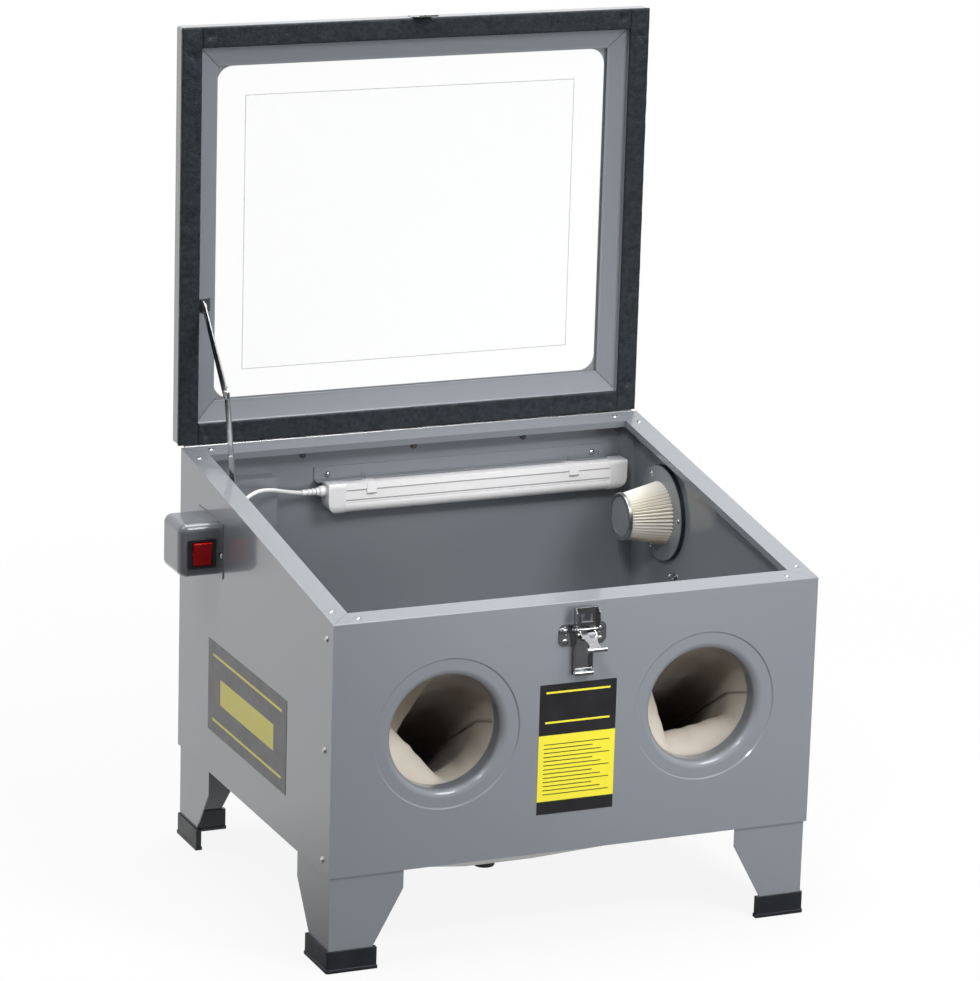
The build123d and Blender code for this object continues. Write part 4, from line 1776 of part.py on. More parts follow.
SPIGOT_R = 25.0
SPIGOT_WALL = 1.5
with BuildPart() as outlet_spigot:
    rod((RIGHT_X, FILTER_Y, FILTER_Z), (1, 0, 0), FILTER_PLATE_R - 1, PLATE_T)
    rod((RIGHT_X, FILTER_Y, FILTER_Z), (1, 0, 0), SPIGOT_R, SPIGOT_REACH)
    rod((RIGHT_X - 1, FILTER_Y, FILTER_Z), (1, 0, 0), SPIGOT_R - SPIGOT_WALL, SPIGOT_REACH + 2, mode=Mode.SUBTRACT)
    for y, z in FILTER_SCREWS:
        rod((RIGHT_X - 1, y, z), (1, 0, 0), SMALL_CLEAR_R, PLATE_T + 2, mode=Mode.SUBTRACT)
save(outlet_spigot, "outlet_spigot")

# ---------------------------------------------------------------- air inlet baffle on the back wall
BAFFLE_RIGHT_X = MID_X - 180.0
BAFFLE_D = 24.0
BAFFLE_H = 59.0
BAFFLE_TOP_Z = TUB_Z + 321.0
BAFFLE_TAB = 13.5
BAFFLE_SIDE_GAP = 0.4
SIDE_FLANGE_X = LEFT_X + BOTTOM_FLANGE
with BuildPart() as air_baffle:
    back = BACK_Y - SHEET
    front = back - BAFFLE_D
    base_z = BAFFLE_TOP_Z - BAFFLE_H
    left = INNER_LEFT_X
    block((left, front, base_z), (BAFFLE_RIGHT_X, front + SHEET, BAFFLE_TOP_Z))
    block((left, front, BAFFLE_TOP_Z - SHEET), (BAFFLE_RIGHT_X, back - SHEET - BAFFLE_SIDE_GAP, BAFFLE_TOP_Z))
    block(
        (SIDE_FLANGE_X + BAFFLE_SIDE_GAP, front, BAFFLE_TOP_Z - SHEET),
        (BAFFLE_RIGHT_X, back, BAFFLE_TOP_Z),
    )
    block((BAFFLE_RIGHT_X - SHEET, front, base_z), (BAFFLE_RIGHT_X, back, BAFFLE_TOP_Z))
    block(
        (SIDE_FLANGE_X + BAFFLE_SIDE_GAP, back - SHEET, BAFFLE_TOP_Z - BAFFLE_TAB),
        (BAFFLE_RIGHT_X, back, BAFFLE_TOP_Z),
    )
    for x, z in BAFFLE_SCREWS:
        rod((x, BACK_Y - 5, z), (0, 1, 0), SMALL_CLEAR_R, 6, mode=Mode.SUBTRACT)
save(air_baffle, "air_baffle")

# ---------------------------------------------------------------- air nipple and hose eye
NIPPLE_BORE = 3.5
NIPPLE_NUT_R = 10.0
NIPPLE_NUT_H = 5.0
NIPPLE_L = 26.0
with BuildPart() as air_nipple:
    rod((WALL_X - 16, NIPPLE_Y, NIPPLE_Z), (1, 0, 0), NIPPLE_R, 16 + SHEET + NIPPLE_L)
    for x, way in ((RIGHT_X, 1), (WALL_X, -1)):
        with BuildSketch(Plane(origin=(x, NIPPLE_Y, NIPPLE_Z), x_dir=(0, 1, 0), z_dir=(way, 0, 0))):
            RegularPolygon(NIPPLE_NUT_R, 6)
        extrude(amount=NIPPLE_NUT_H)
    rod((WALL_X - 17, NIPPLE_Y, NIPPLE_Z), (1, 0, 0), NIPPLE_BORE, 60, mode=Mode.SUBTRACT)
save(air_nipple, "air_nipple")

EYE_R = 3.4
EYE_WIRE_R = 1.1
with BuildPart() as hose_eye:
    rod((WALL_X - 1.4, HOSE_EYE_Y, HOSE_EYE_Z), (1, 0, 0), 4.2, 1.4)
    rod((WALL_X - 2.4, HOSE_EYE_Y, HOSE_EYE_Z), (1, 0, 0), SMALL_SCREW_D / 2, 2.4 + SHEET + 4)
    ring_x = WALL_X - 1.4 - EYE_R
    with Locations(Location(Plane(origin=(ring_x - 0.6, HOSE_EYE_Y, HOSE_EYE_Z), z_dir=(0, 1, 0)))):
        Torus(EYE_R, EYE_WIRE_R)
save(hose_eye, "hose_eye")

# ---------------------------------------------------------------- small domed screws everywhere
SHORT_SCREW = domed_screw(SMALL_SCREW_D, SMALL_SCREW_HEAD_D, SMALL_SCREW_HEAD_H, 2 * SHEET + GRIP_PAST)
FILTER_STACK = PLATE_T + FILTER_GASKET_T + SHEET + PLATE_T
LONG_SCREW = domed_screw(SMALL_SCREW_D, SMALL_SCREW_HEAD_D, SMALL_SCREW_HEAD_H, FILTER_STACK + NUT_SMALL_H + 1)
FILTER_NUT = hex_nut(SMALL_SCREW_D, 5.5, NUT_SMALL_H)
CLIP_STACK = HOUSING_T + LAMP_CLIP_T + STRIP_T
CLIP_SCREW = domed_screw(SMALL_SCREW_D, 5.0, 1.2, CLIP_STACK + 3.5)
with BuildPart() as panel_screws:
    with Locations(*[place(LEFT_X - BOX_WALL, y, z, (-1, 0, 0)) for y, z in BOX_SCREWS]):
        add(SHORT_SCREW)
    with Locations(*[place(INNER_LEFT_X + STAY_BASE_T, y, z, (1, 0, 0)) for y, z in STAY_SCREWS]):
        add(SHORT_SCREW)
    with Locations(*[place(x, BACK_Y - 2 * SHEET, z, (0, -1, 0)) for x, z in BAFFLE_SCREWS]):
        add(SHORT_SCREW)
    strip_z = STRIP_Z + STRIP_SCREW_RISE
    with Locations(*[place(x, STRIP_BACK_Y - STRIP_T, strip_z, (0, -1, 0)) for x in STRIP_SCREW_XS]):
        add(SHORT_SCREW)
    with Locations(*[spot * Location((0, 0, LATCH_T)) for spot in LATCH_SCREWS]):
        add(SHORT_SCREW)
    with Locations(*[place(x, CLIP_SCREW_Y, LAMP_TOP_Z - HOUSING_T, (0, 0, -1)) for x in LAMP_CLIP_XS]):
        add(CLIP_SCREW)
    with Locations(*[place(PLATE_X, y, z, (-1, 0, 0)) for y, z in FILTER_SCREWS]):
        add(LONG_SCREW)
    with Locations(*[place(RIGHT_X + PLATE_T, y, z, (1, 0, 0)) for y, z in FILTER_SCREWS]):
        add(FILTER_NUT)
save(panel_screws, "panel_screws")
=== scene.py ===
from math import cos, exp, hypot, pi, radians, sin

import bmesh
import bpy
from mathutils import Matrix, Vector, noise


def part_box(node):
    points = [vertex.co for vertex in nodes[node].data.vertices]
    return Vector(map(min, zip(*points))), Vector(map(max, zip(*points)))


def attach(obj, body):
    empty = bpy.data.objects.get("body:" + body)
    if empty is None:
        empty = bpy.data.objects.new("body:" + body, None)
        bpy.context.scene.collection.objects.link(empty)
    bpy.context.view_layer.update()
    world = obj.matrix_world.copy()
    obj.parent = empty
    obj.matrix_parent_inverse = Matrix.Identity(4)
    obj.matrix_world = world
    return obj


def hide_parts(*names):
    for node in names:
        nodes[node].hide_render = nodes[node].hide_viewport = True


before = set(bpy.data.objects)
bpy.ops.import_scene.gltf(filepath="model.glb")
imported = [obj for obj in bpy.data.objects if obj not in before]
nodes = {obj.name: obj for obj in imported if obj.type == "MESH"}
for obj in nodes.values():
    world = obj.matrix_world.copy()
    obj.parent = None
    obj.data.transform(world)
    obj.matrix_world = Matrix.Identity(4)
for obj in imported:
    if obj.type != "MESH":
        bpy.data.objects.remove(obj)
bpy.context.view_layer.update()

scene = bpy.context.scene


def corner(node, x, y, z):
    """A point of a node's box, each share from 0 at its low side to 1 at its high side."""
    low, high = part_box(node)
    return Vector([a + (b - a) * share for a, b, share in zip(low, high, (x, y, z))])


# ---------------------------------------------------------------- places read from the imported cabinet
SIDE_LEFT = corner("left_side_panel", 0, 0, 0).x
SIDE_RIGHT = corner("right_side_panel", 1, 0, 0).x
FRONT = corner("front_panel", 0, 0, 0).y
BACK = corner("back_panel", 0, 1, 0).y
TUB_LOW = corner("front_panel", 0, 0, 0).z
MID_X = (SIDE_LEFT + SIDE_RIGHT) / 2
MID_Y = (FRONT + BACK) / 2
GRATE_TOP = corner("work_grate", 0, 0, 1).z
PORT_R = 0.0675
PORT_RISE = 0.1505

# ---------------------------------------------------------------- camera
AZIMUTH = radians(-23.93)
ELEVATION = radians(15.41)
ROLL = radians(1.7)
DISTANCE = 5.13238
FOCAL_PIXELS = 4540.43
IMAGE_LONG_SIDE = 981
SENSOR = 36.0
AIM = Vector((-0.00607, 0.0, 0.45824)) + Vector((0, MID_Y, 0))

back = Vector((sin(AZIMUTH) * cos(ELEVATION), -cos(AZIMUTH) * cos(ELEVATION), sin(ELEVATION)))
right = Vector((cos(AZIMUTH), sin(AZIMUTH), 0))
up = back.cross(right)
rolled_right = right * cos(ROLL) + up * sin(ROLL)
rolled_up = up * cos(ROLL) - right * sin(ROLL)
camera_data = bpy.data.cameras.new("camera")
camera_data.sensor_width = SENSOR
camera_data.lens = FOCAL_PIXELS * SENSOR / IMAGE_LONG_SIDE
camera_data.clip_start = 0.1
camera_data.clip_end = 100
camera = bpy.data.objects.new("camera", camera_data)
facing = Matrix((rolled_right, rolled_up, back)).transposed().to_4x4()
camera.matrix_world = Matrix.Translation(AIM + back * DISTANCE) @ facing
scene.collection.objects.link(camera)
scene.camera = camera
scene.view_settings.view_transform = "Standard"


# ---------------------------------------------------------------- node helpers
class Finish:
    """A procedural finish: its shader, with the node makers that the recipes below use."""

    def __init__(self, name, color, roughness, metallic=0.0, **sockets):
        self.material = bpy.data.materials.new(name)
        self.material.use_nodes = True
        self.tree = self.material.node_tree
        self.shader = self.tree.nodes["Principled BSDF"]
        self.shader.inputs["Base Color"].default_value = (*color, 1)
        self.shader.inputs["Roughness"].default_value = roughness
        self.shader.inputs["Metallic"].default_value = metallic
        for socket, value in sockets.items():
            self.shader.inputs[socket.replace("_", " ")].default_value = value
        self.height = None

    def add(self, kind, **values):
        node = self.tree.nodes.new("ShaderNode" + kind)
        for key, value in values.items():
            setattr(node, key, value)
        return node

    def link(self, source, target):
        self.tree.links.new(source, target)

    def place(self, scale=(1, 1, 1), centre=(0, 0, 0), turn=(0, 0, 0), of="Object"):
        """Surface coordinates, moved so that centre is their zero, turned and stretched."""
        coords = self.add("TexCoord")
        mapping = self.add("Mapping", vector_type="POINT")
        mapping.inputs["Location"].default_value = [-c * s for c, s in zip(centre, scale)]
        mapping.inputs["Rotation"].default_value = turn
        mapping.inputs["Scale"].default_value = scale
        self.link(coords.outputs[of], mapping.inputs["Vector"])
        return mapping.outputs["Vector"]

    def noise(self, scale, detail=2.0, where=None, distortion=0.0):
        node = self.add("TexNoise")
        node.inputs["Scale"].default_value = scale
        node.inputs["Detail"].default_value = detail
        node.inputs["Distortion"].default_value = distortion
        self.link(where or self.place(), node.inputs["Vector"])
        return node.outputs["Fac"]

    def wave(self, scale, direction, where=None, distortion=0.0, profile="SIN"):
        node = self.add("TexWave", wave_type="BANDS", bands_direction=direction, wave_profile=profile)
        node.inputs["Scale"].default_value = scale
        node.inputs["Distortion"].default_value = distortion
        self.link(where or self.place(), node.inputs["Vector"])
        return node.outputs["Fac"]

    def ramp(self, value, stops):
        """Colours or greys along a value; each stop is a place and a colour or a number."""
        node = self.add("ValToRGB")
        elements = node.color_ramp.elements
        while len(elements) < len(stops):
            elements.new(0.5)
        for element, (at, color) in zip(elements, stops):
            element.position = at
            element.color = (*color, 1) if hasattr(color, "__len__") else (color, color, color, 1)
        self.link(value, node.inputs["Fac"])
        return node.outputs["Color"]

    def math(self, operation, a, b=None, clamp=False):
        node = self.add("Math", operation=operation, use_clamp=clamp)
        for socket, value in zip(node.inputs, (a, b)):
            if hasattr(value, "default_value"):
                self.link(value, socket)
            elif value is not None:
                socket.default_value = value
        return node.outputs[0]

    def mix(self, share, a, b, blend="MIX"):
        node = self.add("Mix", data_type="RGBA", blend_type=blend)
        for name, value in (("Factor", share), ("A", a), ("B", b)):
            kind = "VALUE" if name == "Factor" else "RGBA"
            socket = next(s for s in node.inputs if s.name == name and s.type == kind)
            if hasattr(value, "default_value"):
                self.link(value, socket)
            elif hasattr(value, "__len__"):
                socket.default_value = (*value, 1)
            else:
                socket.default_value = value
        return next(s for s in node.outputs if s.type == "RGBA")

    def times(self, a, b):
        """One colour darkened by another."""
        return self.mix(1.0, a, b, "MULTIPLY")

    def axes(self, where=None):
        """The three coordinates of the surface as single values."""
        node = self.add("SeparateXYZ")
        self.link(where or self.place(), node.inputs[0])
        return node.outputs

    def color(self, value):
        self.link(value, self.shader.inputs["Base Color"])

    def roughness(self, value):
        self.link(value, self.shader.inputs["Roughness"])

    def bump(self, value, depth, strength=1.0):
        """Adds relief of a depth in metres on top of what is there."""
        node = self.add("Bump")
        node.inputs["Distance"].default_value = depth
        node.inputs["Strength"].default_value = strength
        self.link(value, node.inputs["Height"])
        if self.height is not None:
            self.link(self.height, node.inputs["Normal"])
        self.height = node.outputs["Normal"]
        self.link(self.height, self.shader.inputs["Normal"])


# ---------------------------------------------------------------- finishes
FULL = (1.0, 1.0, 1.0)


def powder_coat(name, low, high, roughness=(0.3, 0.36)):
    """Glossy powder paint: clear top gloss, faint cloudiness and fine orange peel."""
    f = Finish(name, low, roughness[0], Coat_Weight=0.85, Coat_Roughness=0.07)
    f.color(f.ramp(f.noise(5, 2), [(0.0, low), (1.0, high)]))
    f.roughness(f.ramp(f.noise(12, 3), [(0.0, roughness[0]), (1.0, roughness[1])]))
    f.bump(f.noise(420, 2), 0.00005, 0.3)
    return f.material


def bright_plate(name, color=(0.56, 0.57, 0.585), roughness=(0.06, 0.16)):
    """Bright zinc plate with faint rubbed streaks and a few cloudy spots."""
    f = Finish(name, color, roughness[0], metallic=1.0)
    dull = tuple(c * 0.72 for c in color)
    f.color(f.ramp(f.noise(70, 3), [(0.2, dull), (0.8, color)]))
    f.roughness(f.ramp(f.noise(240, 3, f.place((1, 1, 6))), [(0.2, roughness[0]), (0.9, roughness[1])]))
    f.bump(f.noise(130, 2), 0.00012, 0.3)
    return f.material


def foam_rubber():
    """Cut black foam with open cells."""
    f = Finish("black_foam", (0.02, 0.021, 0.023), 0.9, Specular_IOR_Level=0.25)
    cells = f.add("TexVoronoi")
    cells.inputs["Scale"].default_value = 420
    f.link(f.place(), cells.inputs["Vector"])
    f.color(f.ramp(f.noise(190, 5), [(0.3, (0.015, 0.019, 0.023)), (0.7, (0.03, 0.037, 0.044))]))
    f.roughness(f.ramp(f.noise(300, 3), [(0.3, 0.34), (0.7, 0.6)]))
    f.bump(cells.outputs["Distance"], 0.0006, 0.5)
    f.bump(f.noise(210, 3), 0.001, 0.4)
    return f.material


def moulded_rubber():
    f = Finish("dark_rubber", (0.02, 0.022, 0.026), 0.5)
    f.color(f.ramp(f.noise(35, 3), [(0.2, (0.01, 0.012, 0.015)), (0.85, (0.02, 0.023, 0.027))]))
    f.roughness(f.ramp(f.noise(70, 3), [(0.3, 0.36), (0.8, 0.5)]))
    f.bump(f.noise(700, 2), 0.00008, 0.4)
    return f.material


def cotton_canvas():
    """Cream cotton with a plain weave, with painted shade over the port's upper half and painted shade
    darkening it down the sleeve.
    """
    f = Finish("cotton_canvas", (0.6, 0.54, 0.45), 0.9, Sheen_Weight=0.25, Sheen_Roughness=0.5)
    cloth = f.place((1, 1, 1), of="UV")
    warp = f.wave(230, "X", cloth, 0.6)
    weft = f.wave(230, "Y", cloth, 0.6)
    fresh = f.mix(f.noise(26, 5), (0.66, 0.61, 0.535), (0.54, 0.485, 0.42))
    # painted shade: the cloth darkens with depth into the sleeve, standing for the shade down the port's
    # tunnel
    depth = f.math("MULTIPLY", f.math("SUBTRACT", f.axes()[1], FRONT), 5.0)
    deep = f.ramp(depth, [(0.16, FULL), (0.34, (0.5, 0.47, 0.43)), (0.6, (0.17, 0.145, 0.12))])
    # painted shade: the cloth darkens towards the top of the port, standing for the shade under the port's
    # upper edge
    height = f.math("DIVIDE", f.math("SUBTRACT", f.axes()[2], TUB_LOW + PORT_RISE - PORT_R), 2 * PORT_R)
    painted_top_shade = f.ramp(height, [(0.35, FULL), (0.62, (0.6, 0.57, 0.53)), (1.0, (0.4, 0.37, 0.34))])
    f.color(f.times(f.times(fresh, deep), painted_top_shade))
    f.bump(f.math("ADD", warp, weft), 0.00025, 0.4)
    f.bump(f.noise(45, 4), 0.0012, 0.35)
    return f.material


def clear_pane(name, alpha, tint=(0.9, 0.95, 0.93)):
    f = Finish(name, tint, 0.03, Alpha=alpha, IOR=1.45)
    f.roughness(f.ramp(f.noise(9, 3), [(0.35, 0.015), (0.8, 0.06)]))
    f.bump(f.noise(3, 1), 0.0004, 0.05)
    return f.material


def window_film(low, high):
    """Clear film whose cut edge shows as a thin grey line."""
    f = Finish("clear_film", (0.9, 0.94, 0.94), 0.08, IOR=1.4)
    centre = (low + high) / 2
    half = (high - low) / 2
    x, y, z = f.axes(f.place(centre=centre))
    edge_x = f.math("GREATER_THAN", f.math("ABSOLUTE", x), half.x - 0.0008)
    edge_z = f.math("GREATER_THAN", f.math("ABSOLUTE", z), half.z - 0.0008)
    edge = f.math("MAXIMUM", edge_x, edge_z)
    f.color(f.ramp(edge, [(0.0, (0.9, 0.94, 0.94)), (1.0, (0.3, 0.31, 0.32))]))
    f.link(f.ramp(edge, [(0.0, 0.03), (1.0, 0.5)]), f.shader.inputs["Alpha"])
    f.roughness(f.ramp(f.noise(14, 3), [(0.3, 0.05), (0.8, 0.12)]))
    return f.material


def plain_plastic(name, low, high, roughness, grain=900, depth=0.00004, **sockets):
    f = Finish(name, low, roughness[0], **sockets)
    f.color(f.ramp(f.noise(30, 3), [(0.3, low), (0.75, high)]))
    f.roughness(f.ramp(f.noise(60, 3), [(0.3, roughness[0]), (0.8, roughness[1])]))
    f.bump(f.noise(grain, 2), depth, 0.4)
    return f.material


def down_from(f, top, height):
    """How far below a height the surface is, as a share of a span."""
    return f.math("DIVIDE", f.math("SUBTRACT", top, f.axes()[2]), height, clamp=True)


def lamp_lacquer(name, top, height, joints):
    """White lacquer with painted shade lines at shares of its height, standing for the shadow under its ridge
    and in its joints.
    """
    f = Finish(name, (0.92, 0.91, 0.92), 0.24, Coat_Weight=0.5)
    # painted shade: dark bands at the given heights stand for the shadow in the lamp's gaps and under its
    # ridge
    joints = f.ramp(down_from(f, top, height), joints)
    f.color(f.times(f.mix(f.noise(30, 3), (0.98, 0.97, 0.98), (0.95, 0.94, 0.95)), joints))
    f.roughness(f.ramp(f.noise(60, 3), [(0.3, 0.2), (0.8, 0.28)]))
    f.bump(f.noise(900, 2), 0.00004, 0.4)
    return f.material


def lamp_cover(top, height):
    """Frosted cover with faint lengthwise lines, painted shade at its top joint and in a thin line just below
    it, and painted shade darkening its underside.
    """
    f = Finish("frosted_cover", (0.8, 0.81, 0.82), 0.32)
    # painted shade: dark at the joint under the housing, a dark line just below it, and darker towards the
    # underside
    painted_shade_bands = f.ramp(
        down_from(f, top, height),
        [(0.0, 0.5), (0.05, 1.0), (0.1, 1.0), (0.13, 0.6), (0.16, 1.0), (0.5, 0.97), (1.0, 0.6)],
    )
    lines = f.ramp(f.wave(95, "Z"), [(0.2, (0.94, 0.93, 0.94)), (0.8, (0.98, 0.97, 0.98))])
    f.color(f.times(lines, painted_shade_bands))
    f.roughness(f.ramp(f.noise(80, 2), [(0.3, 0.26), (0.8, 0.4)]))
    f.bump(f.wave(160, "Z"), 0.00012, 0.5)
    return f.material


def pleated_paper(low, high, pleats):
    """Cream paper with painted shade down in its pleats and towards its underside."""
    f = Finish("pleated_paper", (0.75, 0.7, 0.58), 0.85)
    x, y, z = f.axes(f.place(centre=(low + high) / 2))
    turn = f.math("MULTIPLY", f.math("ARCTAN2", z, y), pleats)
    crest = f.math("ADD", f.math("MULTIPLY", f.math("COSINE", turn), 0.5), 0.5)
    # painted shade: darker down in the pleat valleys
    painted_pleat_shade = f.ramp(crest, [(0.0, (0.6, 0.53, 0.42)), (0.3, (0.93, 0.91, 0.86)), (0.6, FULL)])
    lift = f.math("DIVIDE", f.math("SUBTRACT", z, (low.z - high.z) / 2), high.z - low.z)
    # painted shade: darker towards the filter's underside
    shade = f.ramp(lift, [(0.0, (0.6, 0.54, 0.43)), (0.4, FULL)])
    fresh = f.mix(f.noise(60, 5), (0.99, 0.98, 0.94), (0.95, 0.92, 0.84))
    f.color(f.times(f.times(fresh, painted_pleat_shade), shade))
    f.bump(f.noise(500, 4), 0.0002, 0.5)
    return f.material


def sticker(name, low, high, fields):
    """Sticker with plain fields, each low u, high u, low v and high v as shares of its size, and a colour."""
    f = Finish(name, (0.02, 0.02, 0.022), 0.35, Coat_Weight=0.2, Coat_Roughness=0.2)
    size = high - low
    across = 0 if size.x > size.y else 1
    parts = f.axes(f.place(centre=low))
    u = f.math("DIVIDE", parts[across], size[across])
    v = f.math("DIVIDE", parts[2], size.z)
    shade = f.ramp(f.noise(40, 4), [(0.3, (0.014, 0.014, 0.016)), (0.8, (0.024, 0.024, 0.027))])
    for u0, u1, v0, v1, color in fields:
        inside = f.math("MULTIPLY", f.math("GREATER_THAN", u, u0), f.math("LESS_THAN", u, u1))
        inside = f.math("MULTIPLY", inside, f.math("GREATER_THAN", v, v0))
        inside = f.math("MULTIPLY", inside, f.math("LESS_THAN", v, v1))
        shade = f.mix(inside, shade, color)
    f.color(shade)
    f.roughness(f.ramp(f.noise(50, 3), [(0.3, 0.28), (0.8, 0.42)]))
    f.bump(f.noise(300, 2), 0.00005, 0.3)
    return f.material


YELLOW = (0.9, 0.8, 0.05)
BLACK_INK = (0.02, 0.02, 0.022)
FILTER_PLEATS = 48

paint = powder_coat("grey_powder_coat", (0.225, 0.244, 0.27), (0.24, 0.259, 0.285))
grate_steel = bright_plate("grate_steel", (0.34, 0.35, 0.36), (0.42, 0.6))
box_paint = powder_coat("grey_box_paint", (0.14, 0.153, 0.17), (0.155, 0.168, 0.185))
plate = bright_plate("bright_zinc")
dull_plate = bright_plate("dull_zinc", (0.5, 0.51, 0.52), (0.24, 0.4))
foam = foam_rubber()
rubber = moulded_rubber()
canvas = cotton_canvas()
glass = clear_pane("window_glass", 0.05)
film = window_film(*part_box("lid_film"))
white = plain_plastic("glossy_white", (0.84, 0.84, 0.85), (0.88, 0.88, 0.89), (0.14, 0.22), Coat_Weight=0.5)
black = plain_plastic("black_plastic", (0.018, 0.018, 0.02), (0.03, 0.03, 0.033), (0.35, 0.55))
red = plain_plastic(
    "red_rocker", (0.4, 0.004, 0.006), (0.5, 0.008, 0.008), (0.2, 0.3), Specular_IOR_Level=0.3
)
grey_cap = plain_plastic("grey_end_disc", (0.2, 0.21, 0.225), (0.24, 0.25, 0.265), (0.35, 0.5))
LAMP_LOW, LAMP_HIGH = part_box("lamp_end_caps")
LAMP_SPLIT = corner("lamp_diffuser", 0, 0, 1).z
# painted shade: dark bands under the housing's ridge and along its lower joint with the cover
lamp_metal = lamp_lacquer(
    "white_lacquer",
    LAMP_HIGH.z,
    LAMP_HIGH.z - LAMP_SPLIT,
    [(0.0, 1.0), (0.355, 1.0), (0.38, 0.38), (0.42, 0.45), (0.46, 1.0), (0.93, 0.97), (0.96, 0.4)],
)
CLIP_LOW, CLIP_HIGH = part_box("lamp_clips")
# painted shade: a dark band along the clips' lower edge stands for their shadow
clip_metal = lamp_lacquer(
    "clip_lacquer", CLIP_HIGH.z, CLIP_HIGH.z - CLIP_LOW.z, [(0.0, 1.0), (0.88, 1.0), (0.93, 0.35), (1.0, 0.3)]
)
cover = lamp_cover(LAMP_SPLIT, LAMP_SPLIT - LAMP_LOW.z)
light_strip = plain_plastic("light_strip", (0.72, 0.7, 0.6), (0.8, 0.79, 0.72), (0.4, 0.5))
paper = pleated_paper(*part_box("filter_media"), FILTER_PLEATS)
turned_brass = bright_plate("turned_brass", (0.72, 0.54, 0.24), (0.22, 0.38))
front_sticker = sticker(
    "front_sticker",
    *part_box("front_label"),
    [(0.0, 1.0, 0.1, 0.61, YELLOW), (0.08, 0.92, 0.7, 0.715, YELLOW), (0.08, 0.92, 0.93, 0.945, YELLOW)]
    + [(0.07, 0.93 - 0.11 * (n % 3), 0.15 + 0.032 * n, 0.157 + 0.032 * n, BLACK_INK) for n in range(13)],
)
side_sticker = sticker(
    "side_sticker",
    *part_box("side_label"),
    [(0.06, 0.94, 0.84, 0.87, YELLOW), (0.06, 0.94, 0.13, 0.16, YELLOW), (0.16, 0.84, 0.36, 0.64, YELLOW)],
)

finishes = {
    paint: """front_panel left_side_panel right_side_panel back_panel corner_gussets hopper legs lid_shell
        lid_inner_frame lamp_bracket air_baffle filter_plate""",
    box_paint: "switch_box",
    grate_steel: "work_grate",
    plate: """rim_screws side_screws hinge_bolts lid_bolts latch_base latch_lever latch_claw lid_catch
        stay_lid_bracket stay_upper_link stay_lower_link stay_wall_bracket panel_screws""",
    dull_plate: """leg_bolts port_clamps hinge_body_leaf hinge_lid_leaf hinge_pin filter_end_ring
        hose_eye""",
    foam: "lid_gasket filter_gasket",
    rubber: "rubber_feet cord_grommet",
    canvas: "left_glove right_glove",
    glass: "lid_glass",
    film: "lid_film",
    white: "lamp_end_caps lamp_plug lamp_cord",
    black: "outlet_cap switch_body power_supply cable_gland outlet_spigot",
    red: "switch_rocker",
    grey_cap: "filter_end_cap",
    lamp_metal: "lamp_housing",
    clip_metal: "lamp_clips",
    cover: "lamp_diffuser",
    light_strip: "lamp_light_strip",
    paper: "filter_media",
    turned_brass: "air_nipple",
    front_sticker: "front_label",
    side_sticker: "side_label",
}
for material, names in finishes.items():
    for name in names.split():
        mesh = nodes[name].data
        mesh.materials.clear()
        mesh.materials.append(material)


# ---------------------------------------------------------------- rounded bends and smooth curves
MERGE = 0.000002


def dress(names, bend=0.0, crease=30.0, segments=2):
    """Joins a node's triangles in modifiers, rounds its edges by a bend and smooths its curves."""
    for name in names.split():
        o = nodes[name]
        o.data.polygons.foreach_set("use_smooth", [True] * len(o.data.polygons))
        weld = o.modifiers.new("join", "WELD")
        weld.merge_threshold = MERGE
        if bend:
            sheet = o.modifiers.new("flat_faces", "DECIMATE")
            sheet.decimate_type = "DISSOLVE"
            sheet.angle_limit = radians(0.4)
            round_off = o.modifiers.new("bends", "BEVEL")
            round_off.width = bend
            round_off.segments = segments
            round_off.limit_method = "ANGLE"
            round_off.angle_limit = radians(crease)
            round_off.use_clamp_overlap = True
            flat = o.modifiers.new("flats", "WEIGHTED_NORMAL")
            flat.weight = 100
            flat.thresh = 0.01
        else:
            part = o.modifiers.new("creases", "EDGE_SPLIT")
            part.split_angle = radians(crease)


dress("front_panel left_side_panel right_side_panel back_panel lid_shell lid_inner_frame hopper legs", 0.0005)
dress("latch_base latch_lever latch_claw lid_catch stay_lid_bracket stay_upper_link stay_lower_link", 0.00025)
dress("switch_box switch_body switch_rocker outlet_cap cable_gland rubber_feet", 0.0005)
dress("rim_screws side_screws hinge_bolts lid_bolts panel_screws leg_bolts outlet_spigot air_nipple hose_eye")
dress("lamp_housing lamp_plug filter_end_ring filter_end_cap filter_plate hinge_pin cord_grommet")
dress("hinge_body_leaf hinge_lid_leaf stay_wall_bracket lamp_bracket air_baffle port_clamps work_grate", 0.0)


# ---------------------------------------------------------------- making pieces
def piece(name, bm, material, body, smooth=True):
    """A finished mesh as an object of the part, riding on a body."""
    mesh = bpy.data.meshes.new(name)
    bm.to_mesh(mesh)
    bm.free()
    mesh.materials.append(material)
    mesh.polygons.foreach_set("use_smooth", [smooth] * len(mesh.polygons))
    o = bpy.data.objects.new(name, mesh)
    scene.collection.objects.link(o)
    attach(o, body)
    return o


def mesh_of(node):
    """A merged copy of a CAD node's mesh, to read places from."""
    bm = bmesh.new()
    bm.from_mesh(nodes[node].data)
    bmesh.ops.remove_doubles(bm, verts=bm.verts, dist=MERGE)
    return bm


def islands(bm):
    """The separate solids of a merged mesh, each as its list of points."""
    left = set(bm.verts)
    found = []
    while left:
        ring = [left.pop()]
        group = []
        while ring:
            v = ring.pop()
            group.append(v.co.copy())
            for e in v.link_edges:
                other = e.other_vert(v)
                if other in left:
                    left.discard(other)
                    ring.append(other)
        found.append(group)
    return found


